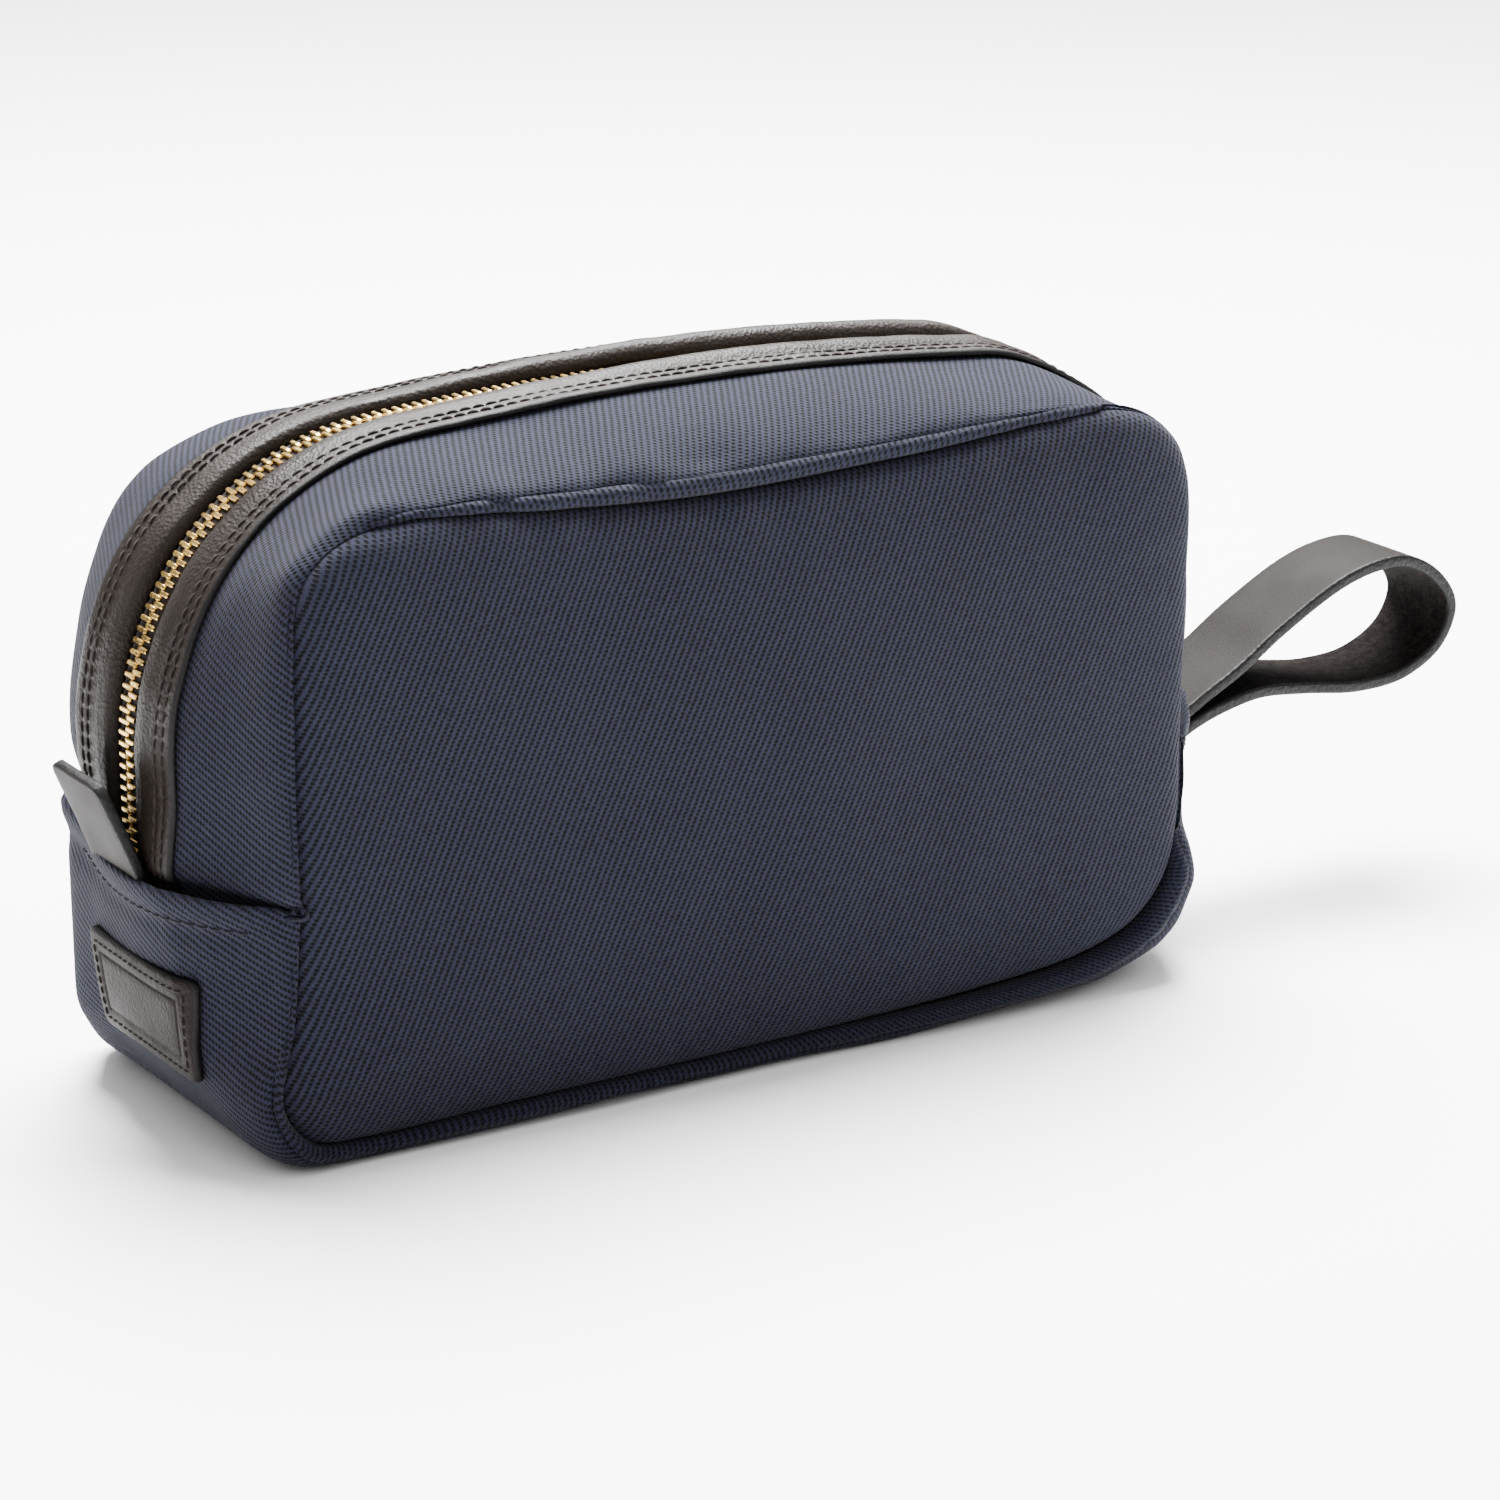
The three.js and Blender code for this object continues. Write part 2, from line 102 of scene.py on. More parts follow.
def sample(at, stations, values):
    """Rows of values, which belong to the stations, read off at one or more places between them."""
    return np.stack([np.interp(at, stations, column) for column in values.T], axis=-1)


def resample(points, shares):
    """Points at shares, 0 to 1, of the polyline's length."""
    s = lengths(points)
    return sample(np.asarray(shares) * s[-1], s, points)


def on_axis(flat):
    """Points of the XZ plane as points in space."""
    return np.insert(flat, 1, 0, axis=1)


def normals_2d(points, closed=False):
    """Left-hand normals of a polyline in the XZ plane."""
    if closed:
        tangent = np.roll(points, -1, 0) - np.roll(points, 1, 0)
    else:
        tangent = np.gradient(points, axis=0)
    tangent /= np.linalg.norm(tangent, axis=1)[:, None]
    return np.stack([-tangent[:, 1], tangent[:, 0]], axis=1)


def smooth(x, low, high):
    t = np.clip((np.asarray(x, float) - low) / (high - low), 0, 1)
    return t * t * (3 - 2 * t)


# seam round the large panels, over the top from left to right, then back underneath
SEAM_TOP = catmull([
    (-119, FOLD_Z), (-119.3, 95), (-117.3, 127), (-109.5, 138), (-93, 143.2), (-50, 140.6),
    (-15, 138.8), (40, 140.8), (98, 143.6), (111.5, 138), (118.4, 126), (119, 95), (118.5, FOLD_Z)])
SEAM_LOWER = [
    (118.5, FOLD_Z), (118.3, 42), (115.3, 27), (106, 16), (90, 10), (60, 7), (0, 5.4), (-68, 4.9),
    (-101, 4.4), (-116.5, 6.2), (-124.2, 16.5), (-121, 36), (-119, FOLD_Z)]
# middle of the lower gusset and half the width that lies flat, one entry for each seam point
MID_LOWER = [
    (139.6, 60.4, 0), (138.4, 44, 0), (134.5, 24, 4), (125, 8, 16), (104, 0.8, 30), (74, 0, 38),
    (0, 0, 41), (-74, 0, 41), (-106, 0, 41), (-124, 2.4, 39), (-133.5, 15, 26), (-138, 37, 10),
    (-140.6, 60.8, 0)]


def zip_path(count):
    """Points along the top of the teeth from the left end to the right, and outward normals."""
    reach = CROWN_RADIUS - ZIP_RADIUS
    crown_angle = math.asin(SHOULDER_X / reach)
    crown_z = SHOULDER_Z - reach * math.cos(crown_angle)
    straight = SHOULDER_Z - FOLD_Z + TUCK
    bend = ZIP_RADIUS * (math.pi / 2 - crown_angle)
    half = CROWN_RADIUS * crown_angle + bend + straight
    points, outward = [], []
    for s in np.linspace(-half, half, count):
        side, d = (1 if s >= 0 else -1), abs(s)
        if d <= CROWN_RADIUS * crown_angle:
            a = d / CROWN_RADIUS
            x, z = CROWN_RADIUS * math.sin(a), crown_z + CROWN_RADIUS * math.cos(a)
        elif d <= half - straight:
            a = crown_angle + (d - CROWN_RADIUS * crown_angle) / ZIP_RADIUS
            x, z = SHOULDER_X + ZIP_RADIUS * math.sin(a), SHOULDER_Z + ZIP_RADIUS * math.cos(a)
        else:
            a = math.pi / 2
            x, z = SHOULDER_X + ZIP_RADIUS, SHOULDER_Z - (d - (half - straight))
        points.append((side * x, z))
        outward.append((side * math.sin(a), math.cos(a)))
    return np.array(points), np.array(outward), 2 * half


ZIP_LENGTH = zip_path(3)[2]


class Gusset:
    """A gusset strip: at each step along it a seam point, a middle point and an outward normal."""

    def __init__(self, seam, mid, normal, flat, length, roll, uneven, fuller_from, slack):
        self.seam, self.mid, self.normal, self.flat = seam, mid, normal, flat
        self.s = np.linspace(0, length, len(seam))
        self.roll = roll
        self.uneven, self.fuller_from, self.slack = uneven, fuller_from, slack
        self.tucked = np.zeros(len(seam))
        self.shoulder = np.zeros(len(seam))
        self.upright = (smooth(-seam[:, 0], 106, 117) * smooth(seam[:, 1], 12, 30)
                        * smooth(-seam[:, 1], -134, -116))

    def at(self, y, rise):
        """Points of the strip where y and rise are arrays of one value per step, or single values."""
        y = np.broadcast_to(np.asarray(y, float), self.s.shape)
        reach = np.clip((np.abs(y) - self.flat) / (self.roll - self.flat), 0, 1)
        share = (1 - reach**2.3) ** 0.62
        # the right end, and the front half of the left one, are pulled tight between zip and seam
        taut = smooth(self.mid[:, 0], 112, 128) * smooth(self.mid[:, 1], 20, 38)
        taut += 0.6 * smooth(-self.mid[:, 0], 112, 128) * smooth(self.mid[:, 1], 14, 34) * smooth(-y, 6, 22)
        taut *= smooth(-self.mid[:, 1], -136, -112)
        share = share + (np.minimum(share, 1.5 * (1 - reach)) - share) * taut
        rise = np.broadcast_to(np.asarray(rise, float), self.s.shape)
        fuller = 3.4 * smooth(y, self.fuller_from, self.fuller_from + 22) * smooth(SEAM_Y - y, 0, 12)
        slacker = self.slack * smooth(-y, 4, 19) * smooth(SEAM_Y + y, 0, 16)
        rise = rise + self.uneven * (fuller - slacker)
        rise = rise - self.shoulder * share * smooth(np.abs(y), 5.5, 9.5)
        p = self.seam + (self.mid - self.seam) * share[:, None] + self.normal * rise[:, None]
        # the seam pulls the cloth in, so the strip rolls over into a groove
        to_seam = share * np.linalg.norm(self.mid - self.seam, axis=1)
        near = smooth(np.abs(y), 32, 44)
        hidden = smooth(p[:, 0], 96, 112) * smooth(p[:, 1], 30, 46) * smooth(-p[:, 1], -134, -118)
        groove = (self.roll - SEAM_DEPTH_Y) * np.exp(-((to_seam / 2.9) ** 1.4)) * near * (1 - 0.5 * hidden)
        # down the left end it meets the panel edge to edge instead
        groove *= 1 - 0.9 * self.upright
        past = np.maximum(np.abs(y) - 30, 0) * (self.roll - LIP_Y) / (self.roll - 30) * self.upright
        sunk_y = 1.7 * self.tucked * smooth(np.abs(y), 26, 42)
        new_y = y * (1 - 0.055 * hidden * near) - np.sign(y) * (groove + past + sunk_y)
        return np.stack([p[:, 0], new_y, p[:, 1]], axis=1)


def top_gusset(count):
    points, outward, length = zip_path(count)
    ends = [(-119.6, FOLD_Z - TUCK)], [(118.4, FOLD_Z - TUCK)]
    seam = resample(np.vstack([ends[0], SEAM_TOP, ends[1]]), np.linspace(0, 1, count))
    sunk = 1.7 * smooth(points[:, 1], FOLD_Z + 5, FOLD_Z)
    mid = points + outward * (CLOTH_OVER_TEETH - sunk)[:, None]
    seam = seam - outward * sunk[:, None] * 0.9
    left = smooth(-points[:, 0], 70, 130) * smooth(points[:, 1], FOLD_Z + 4, FOLD_Z + 24)
    strip = Gusset(seam, mid, outward, np.zeros(count), length, TOP_ROLL_Y, left, 2, 1.5)
    strip.tucked = smooth(-points[:, 1], -FOLD_Z - 4, -FOLD_Z)
    strip.shoulder = 2.2 * smooth(points[:, 0], 78, 108) * smooth(points[:, 1], 100, 116)
    return strip


def lower_gusset(count):
    seam, mid = catmull(SEAM_LOWER), catmull(MID_LOWER)
    shares = lengths(mid[:, :2]) / lengths(mid[:, :2])[-1]
    at = np.linspace(0, 1, count)
    seam, mid = sample(at, shares, seam), sample(at, shares, mid)
    mid[:, 1] = np.maximum(mid[:, 1], 0)
    normal = normals_2d(mid[:, :2])
    left = smooth(-mid[:, 0], 100, 130) * smooth(mid[:, 1], 0, 20)
    return Gusset(seam, mid[:, :2], normal, np.maximum(mid[:, 2], 0), lengths(mid[:, :2])[-1],
                  LOWER_ROLL_Y, left, 16, 0.0)


TOP = top_gusset(220)
LOWER = lower_gusset(230)


# ---- meshes ----
def make_mesh(name, points, faces, weave=None, shade=True, slots=None):
    """A mesh object from points in millimetres. weave holds each point's place on the flat cloth."""
    mesh = bpy.data.meshes.new(name)
    mesh.from_pydata((np.asarray(points, float) * MM).tolist(), [], [list(map(int, f)) for f in faces])
    if weave is not None:
        layer = mesh.attributes.new("weave", "FLOAT_VECTOR", "POINT")
        flat = np.zeros((len(points), 3))
        flat[:, :weave.shape[1]] = weave
        layer.data.foreach_set("vector", flat.ravel())
    if slots is not None:
        mesh.polygons.foreach_set("material_index", np.asarray(slots, dtype=np.int32))
    mesh.polygons.foreach_set("use_smooth", [shade] * len(mesh.polygons))
    mesh.update()
    obj = bpy.data.objects.new(name, mesh)
    bpy.context.collection.objects.link(obj)
    return obj


def grid_faces(rows, cols, close_rows=False, close_cols=False, first=0):
    faces = []
    for i in range(rows if close_rows else rows - 1):
        for j in range(cols if close_cols else cols - 1):
            a, b = first + i * cols, first + (i + 1) % rows * cols
            c, d = j, (j + 1) % cols
            faces.append((a + c, b + c, b + d, a + d))
    return faces


def tube_faces(rows, cols, first=0):
    """Faces of a tube of closed rings, with both ends capped."""
    last = first + (rows - 1) * cols
    caps = [tuple(range(first, first + cols)), tuple(reversed(range(last, last + cols)))]
    return grid_faces(rows, cols, close_cols=True, first=first) + caps


def close_out(obj, weld=False):
    """Makes every separate closed part of a mesh look outward, its coinciding points joined if asked."""
    mesh = bmesh.new()
    mesh.from_mesh(obj.data)
    if weld:
        bmesh.ops.remove_doubles(mesh, verts=mesh.verts, dist=1e-6)
    bmesh.ops.recalc_face_normals(mesh, faces=mesh.faces)
    mesh.to_mesh(obj.data)
    mesh.free()
    return obj


def thicken(obj, thickness):
    """Turns an open sheet's faces away from the middle of the bag and thickens it inwards."""
    centre = Vector(MIDDLE) * MM
    if sum(p.normal.dot(p.center - centre) * p.area for p in obj.data.polygons) < 0:
        obj.data.flip_normals()
    solid = obj.modifiers.new("Thickness", "SOLIDIFY")
    solid.thickness = thickness * MM
    solid.offset = -1


def finish_piece(obj, materials, body="bag", replaces=None):
    """Materials, body and the CAD node that the piece replaces: one of its own name, or "" for none."""
    for material in materials if isinstance(materials, list) else [materials]:
        obj.data.materials.append(material)
    if body:
        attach(obj, body)
    if replaces != "":
        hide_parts(replaces or obj.name.split(".")[0])


def ripple(points, size, amount, seed):
    """Smooth noise at points in millimetres: size is its wavelength, amount its height."""
    offset = Vector((seed * 17.3, seed * 5.1, seed * 9.7))
    values = [noise.noise(Vector(p) / size + offset) for p in points.reshape(-1, 3)]
    return np.reshape(values, points.shape[:-1]) * amount


def outward_normals(grid):
    """Outward normals of a sheet's grid of points, (rows, cols, 3)."""
    n = np.cross(np.gradient(grid, axis=0), np.gradient(grid, axis=1))
    n /= np.maximum(np.linalg.norm(n, axis=2), 1e-9)[:, :, None]
    return n if ((grid - MIDDLE) * n).sum() >= 0 else -n


# ---- materials ----
class Nodes:
    """A short way to write a node tree."""

    def __init__(self, name):
        self.material = bpy.data.materials.new(name)
        self.material.use_nodes = True
        self.tree = self.material.node_tree
        self.shader = self.tree.nodes["Principled BSDF"]

    def put(self, value, socket):
        if isinstance(value, bpy.types.NodeSocket):
            self.tree.links.new(value, socket)
        elif value is not None:
            socket.default_value = value

    def math(self, operation, a, b=None, c=None, clamp=False):
        node = self.tree.nodes.new("ShaderNodeMath")
        node.operation = operation
        node.use_clamp = clamp
        for value, socket in zip((a, b, c), node.inputs):
            self.put(value, socket)
        return node.outputs[0]

    def combine(self, value, weight, base, clamp=False):
        """value times weight plus base"""
        return self.math("MULTIPLY_ADD", value, weight, base, clamp)

    def attribute(self, name):
        node = self.tree.nodes.new("ShaderNodeAttribute")
        node.attribute_name = name
        return node.outputs["Vector"]

    def split(self, vector):
        node = self.tree.nodes.new("ShaderNodeSeparateXYZ")
        self.put(vector, node.inputs[0])
        return node.outputs

    def place(self):
        return self.tree.nodes.new("ShaderNodeTexCoord").outputs["Object"]

    def noise(self, vector, scale, detail=3.0, roughness=0.55):
        node = self.tree.nodes.new("ShaderNodeTexNoise")
        self.put(vector, node.inputs["Vector"])
        node.inputs["Scale"].default_value = scale
        node.inputs["Detail"].default_value = detail
        node.inputs["Roughness"].default_value = roughness
        return node.outputs[0]

    def voronoi(self, vector, scale, feature="F1"):
        node = self.tree.nodes.new("ShaderNodeTexVoronoi")
        node.feature = feature
        self.put(vector, node.inputs["Vector"])
        node.inputs["Scale"].default_value = scale
        return node.outputs["Distance"]

    def remap(self, value, low, high, to_low=0.0, to_high=1.0):
        node = self.tree.nodes.new("ShaderNodeMapRange")
        node.interpolation_type = "SMOOTHSTEP"
        for socket, number in zip(node.inputs, (value, low, high, to_low, to_high)):
            self.put(number, socket)
        return node.outputs[0]

    def mix(self, factor, a, b):
        node = self.tree.nodes.new("ShaderNodeMix")
        node.data_type = "RGBA"
        self.put(factor, node.inputs[0])
        for value, socket in ((a, node.inputs[6]), (b, node.inputs[7])):
            self.put(value if isinstance(value, bpy.types.NodeSocket) else (*value, 1.0), socket)
        return node.outputs[2]

    def bump(self, height, distance, strength=1.0):
        node = self.tree.nodes.new("ShaderNodeBump")
        self.put(height, node.inputs["Height"])
        node.inputs["Distance"].default_value = distance
        node.inputs["Strength"].default_value = strength
        self.tree.links.new(node.outputs[0], self.shader.inputs["Normal"])

    def surface(self, color=None, roughness=None, **fixed):
        if color is not None:
            self.put(color, self.shader.inputs["Base Color"])
        if roughness is not None:
            self.put(roughness, self.shader.inputs["Roughness"])
        for name, value in fixed.items():
            self.shader.inputs[name.replace("_", " ")].default_value = value
        return self.material


def twill(name, deep, light, warp=0.43, pick=0.86, lean=1.0):
    """3/1 twill: warp yarns float over three picks and dip under one, each yarn a pick further on."""
    n = Nodes(name)
    at = n.split(n.attribute("weave"))
    wobble = n.noise(n.place(), 90.0, 2.0)
    across = n.math("ADD", n.math("DIVIDE", at[0], warp), n.math("MULTIPLY", wobble, 0.9))
    across = n.combine(n.noise(n.place(), 520.0, 2.0), 0.9, across)
    along = n.math("DIVIDE", at[1], pick)
    along = n.combine(n.noise(n.place(), 260.0, 2.0), 0.5, along)
    inside = n.math("SUBTRACT", n.math("FRACT", across), 0.5)
    round_yarn = n.math("SUBTRACT", 1.0, n.math("MULTIPLY", n.math("MULTIPLY", inside, inside), 3.0))
    # every pick moves the floats one yarn on, so the ribs climb in steps
    pick_number = n.math("MULTIPLY", n.math("FLOOR", along), lean)
    run = n.math("FRACT", n.math("DIVIDE", n.math("SUBTRACT", across, pick_number), 4.0))
    gap = n.remap(n.math("ABSOLUTE", n.math("SUBTRACT", run, 0.5)), 0.12, 0.44)
    in_pick = n.math("SUBTRACT", n.math("FRACT", along), 0.5)
    middle = n.math("SUBTRACT", 1.0, n.math("MULTIPLY", n.math("MULTIPLY", in_pick, in_pick), 3.4))
    climbed = n.math("SUBTRACT", across, n.math("MULTIPLY", along, lean))
    slope = n.math("FRACT", n.math("DIVIDE", climbed, 4.0))
    rib = n.remap(n.math("ABSOLUTE", n.math("SUBTRACT", slope, 0.5)), 0.5, 0.1)
    fuzz = n.noise(n.place(), 1500.0, 3.0, 0.7)
    height = n.combine(n.math("MULTIPLY", gap, middle), -0.95, 0.76)
    height = n.combine(rib, 0.20, height)
    height = n.combine(round_yarn, 0.16, height)
    height = n.combine(fuzz, 0.85, height)
    shade = n.remap(height, 0.55, 1.68)
    slub = n.noise(n.place(), 900.0, 3.0, 0.7)
    shade = n.combine(slub, 0.8, n.math("SUBTRACT", shade, 0.4))
    patchy = n.noise(n.place(), 28.0, 4.0)
    shade = n.combine(patchy, 0.24, n.math("SUBTRACT", shade, 0.12), clamp=True)
    n.bump(height, 0.00026, 0.8)
    return n.surface(n.mix(shade, deep, light), 0.92, Sheen_Weight=0.03, Sheen_Roughness=0.5,
                     Specular_IOR_Level=0.12)


def plain_weave(name, deep, light, pitch=0.4, roughness=0.8, sheen=0.1):
    n = Nodes(name)
    at = n.split(n.attribute("weave"))
    waves = [n.math("SINE", n.math("MULTIPLY", at[k], 2 * math.pi / pitch)) for k in (0, 1)]
    height = n.combine(n.math("MULTIPLY", waves[0], waves[1]), 0.5, 0.5)
    fuzz = n.noise(n.place(), 900.0, 3.0)
    shade = n.combine(fuzz, 0.5, n.math("MULTIPLY", height, 0.6), clamp=True)
    n.bump(height, 0.00012, 0.6)
    return n.surface(n.mix(shade, deep, light), roughness, Sheen_Weight=sheen, Specular_IOR_Level=0.15)


def leather(name, deep, light, grain=1400.0, depth=0.00012, roughness=(0.42, 0.6), wear=0.5, gloss=0.14):
    """Fine pebbled grain with pores and a little rubbed colour."""
    n = Nodes(name)
    place = n.place()
    cells = n.voronoi(place, grain)
    fine = n.noise(place, grain * 2.2, 4.0, 0.65)
    creases = n.noise(place, grain * 0.22, 4.0, 0.6)
    height = n.combine(fine, 0.5, n.math("MULTIPLY", cells, 0.8))
    height = n.combine(creases, 0.5, height)
    clouds = n.noise(place, 45.0, 4.0)
    tone = n.combine(clouds, wear, n.math("MULTIPLY", fine, 0.5), clamp=True)
    n.bump(height, depth, 0.85)
    return n.surface(n.mix(tone, deep, light), n.remap(clouds, 0.3, 0.7, *roughness),
                     Specular_IOR_Level=gloss)


def suede(name, deep, light):
    """Rough flesh side of the strap."""
    n = Nodes(name)
    place = n.place()
    fibre = n.noise(place, 1300.0, 5.0, 0.75)
    tufts = n.noise(place, 380.0, 4.0, 0.7)
    height = n.combine(tufts, 0.8, fibre)
    tone = n.remap(height, 0.7, 1.15)
    n.bump(height, 0.0004, 0.9)
    return n.surface(n.mix(tone, deep, light), 0.95, Specular_IOR_Level=0.05)


def brass(name, color, roughness=(0.18, 0.34)):
    n = Nodes(name)
    place = n.place()
    marks = n.noise(place, 700.0, 4.0)
    tarnish = n.noise(place, 120.0, 4.0)
    dark = tuple(c * 0.72 for c in color)
    n.bump(marks, 0.00003, 0.5)
    return n.surface(n.mix(n.remap(tarnish, 0.35, 0.65), dark, color),
                     n.remap(marks, 0.3, 0.7, *roughness), Metallic=1.0)


def thread(name, deep, light):
    """Twisted sewing thread: its weave attribute runs along each stitch and round it."""
    n = Nodes(name)
    at = n.split(n.attribute("weave"))
    twist = n.combine(at[0], 2.2, at[1])
    plies = n.combine(n.math("SINE", n.math("MULTIPLY", twist, 6.0)), 0.5, 0.5)
    fuzz = n.noise(n.place(), 1500.0, 2.0)
    n.bump(plies, 0.00012, 0.8)
    return n.surface(n.mix(n.combine(fuzz, 0.4, n.math("MULTIPLY", plies, 0.6)), deep, light),
                     0.75, Sheen_Weight=0.02, Specular_IOR_Level=0.15)


NAVY = twill("navy_twill", (0.0004, 0.0005, 0.0012), (0.0122, 0.0131, 0.0262))
LINING = plain_weave("lining_cotton", (0.10, 0.075, 0.05), (0.22, 0.17, 0.12))
TAPE = plain_weave("zip_tape_weave", (0.002, 0.0009, 0.0009), (0.007, 0.0035, 0.0032), 0.6, sheen=0.01)
TRIM = leather("trim_leather", (0.0030, 0.0021, 0.0017), (0.0185, 0.0134, 0.0110), 1100.0, 0.00022,
               (0.36, 0.54), 0.55, 0.13)
TRIM_EDGE = leather("trim_leather_edge", (0.0015, 0.0012, 0.0012), (0.005, 0.004, 0.0038), 2600.0)
LABEL = leather("label_leather", (0.0034, 0.0024, 0.0019), (0.0125, 0.0092, 0.0076), 1100.0, 0.00020,
                (0.55, 0.70), 0.5, 0.07)
STRAP_GRAIN = leather("strap_leather", (0.0062, 0.0051, 0.0045), (0.0122, 0.0104, 0.0094), 2400.0, 0.00010,
                      (0.55, 0.68), 0.35, 0.06)
STRAP_EDGE = leather("strap_edge_paint", (0.0015, 0.0013, 0.0013), (0.005, 0.0045, 0.0042), 900.0, 0.00022,
                     (0.45, 0.6))
STRAP_FLESH = suede("strap_flesh_side", (0.0012, 0.0009, 0.0009), (0.0125, 0.0096, 0.0088))
BRASS = brass("polished_brass", (0.70, 0.46, 0.14))
BROWN_THREAD = thread("brown_thread", (0.0024, 0.0014, 0.0012), (0.0230, 0.0142, 0.0118))
NAVY_THREAD = thread("navy_thread", (0.0020, 0.0016, 0.0026), (0.0170, 0.0140, 0.0200))


# ---- cloth panels ----
GATHER_PITCH = 9.0


def ring_at(inset, count=360):
    """The panel seam as a closed ring moved inwards, its corners rounder the further it goes."""
    loop = np.vstack([SEAM_TOP[:-1], catmull(SEAM_LOWER)[:-1]])
    loop = np.vstack([loop, loop[:1]])
    ring = resample(loop, np.arange(count) / count)
    waves = np.fft.fftfreq(count, lengths(loop)[-1] / count)
    fade = np.exp(-2 * (math.pi * waves * 0.85 * inset) ** 2)
    rounder = np.fft.ifft(np.fft.fft(ring[:, 0] + 1j * ring[:, 1]) * fade)
    ring = np.stack([rounder.real, rounder.imag], axis=1)
    return ring - normals_2d(ring, closed=True) * inset


def panel(name, side, seed, inwards=0.0, first_ring=0, material=NAVY, thickness=CLOTH_THICK):
    """One large panel: tucked into the seam all round, rolled over it and softly crowned."""
    edge = [(1.2, 41.0), (0.5, 42.2), (0.15, 43.3), (0.35, 44.3), (0.9, 45.3), (1.7, 46.2), (2.9, 47.0),
            (4.6, 47.8), (7.2, 48.4), (11.0, 49.0), (16.0, 49.4)]
    rings = [ring_at(inset) for inset, _ in edge]
    depth = [np.full(len(rings[0]), y) for _, y in edge]
    (inner_inset, inner_y), inner = edge[-1], rings[-1]
    centre = MIDDLE[[0, 2]]
    crown, crown_steps = 2.0, 48
    for k in range(1, crown_steps):
        share = 1 - k / crown_steps
        rings.append(centre + (inner - centre) * share)
        depth.append(np.full(len(inner), inner_y + crown * (1 - share**2)))
    rings, depth = np.array(rings), np.array(depth) - inwards
    count = rings.shape[1]
    gathers = ripple(on_axis(rings[0]), GATHER_PITCH, 0.9, seed)
    for i in range(len(rings)):
        inset = edge[i][0] if i < len(edge) else inner_inset + 100.0 * (i - len(edge) + 1) / crown_steps
        depth[i] += gathers * smooth(inset, 1.0, 4.0) * math.exp(-inset / 9.0)
    flat = rings.reshape(-1, 2)
    places = np.stack([flat[:, 0], np.full(len(flat), seed * 40.0), flat[:, 1]], axis=1)
    places = np.vstack([places, [[centre[0], seed * 40.0, centre[1]]]])
    inside = np.append(np.repeat(smooth(np.arange(len(rings)), 3, 14), count), 1.0)
    broad = (ripple(places, 62.0, 1.5, seed) + ripple(places, 26.0, 0.45, seed + 2)) * inside
    sag = smooth(places[:, 2], 60, 10) * 0.9 * inside
    y = side * (np.append(depth.ravel(), inner_y + crown - inwards) + broad + sag)
    points = np.stack([places[:, 0], y, places[:, 2]], axis=1)[first_ring * count:]
    rings = rings[first_ring:]
    faces = grid_faces(len(rings), count, close_cols=True)
    tip = len(points) - 1
    last = (len(rings) - 1) * count
    faces += [(last + j, tip, last + (j + 1) % count) for j in range(count)]
    weave = np.stack([points[:, 0] * -side, points[:, 2]], axis=1)
    obj = make_mesh(name, points, faces, weave)
    thicken(obj, thickness)
    finish_piece(obj, material)


def seam_binding(name, side):
    """A folded tape round the inside of a panel, over the edges of the seam allowances."""
    section = [(3.0, 42.3), (3.3, 41.7), (9.4, 43.4), (9.8, 43.9), (9.4, 44.4), (3.3, 42.8)]
    rings = [ring_at(inset) for inset, _ in section]
    count = len(rings[0])
    waves = ripple(on_axis(rings[0]), 13.0, 0.3, 7)
    points = np.array([[(ring[j][0], side * (y + waves[j]), ring[j][1])
                        for ring, (_, y) in zip(rings, section)] for j in range(count)])
    faces = grid_faces(count, len(section), close_rows=True, close_cols=True)
    along = np.repeat(lengths(np.vstack([rings[0], rings[0][:1]]))[:-1], len(section))
    weave = np.stack([along, np.tile(np.arange(len(section)) * 2.0, count)], axis=1)
    obj = close_out(make_mesh(name, points.reshape(-1, 3), faces, weave))
    finish_piece(obj, LINING)


# the last bit of a gusset, turned in behind its seam: (distance inwards, rise)
SEAM_TUCK = [(0.6, -0.5), (1.6, -1.1), (3.0, -1.5)]
# places where the cloth is creased or pushed in: x, y, z, reach along x and z, height
DENTS = [(-14, -46, 143, 11, 8, -1.6), (4, -44, 144, 12, 9, 0.9), (-34, -44, 143, 14, 9, 0.7),
         (-98, -44, 142, 9, 8, 2.0), (-84, -46, 141, 7, 7, -1.6), (-112, -42, 130, 8, 9, 1.3),
         (-66, -44, 141, 10, 8, 1.1), (30, -44, 142, 10, 8, -0.9), (62, -44, 143, 12, 8, 0.9),
         (-60, -30, 147, 26, 12, -0.8), (60, -30, 147, 28, 12, -0.7), (-133, -30, 100, 9, 22, -0.9),
         (-128, -32, 44, 12, 16, -0.8), (128, -34, 70, 12, 20, -1.0), (-40, -46, 3, 14, 6, -0.8),
         (34, -46, 3, 16, 6, 0.8), (78, -46, 4, 11, 6, -0.9), (30, 44, 143, 12, 9, -1.2)]


def dents(points):
    """The height that the dents add at each point."""
    return sum(height * np.exp(-(((points - (x, y, z)) / (reach_x, 14.0, reach_z)) ** 2).sum(axis=-1))
               for x, y, z, reach_x, reach_z, height in DENTS)


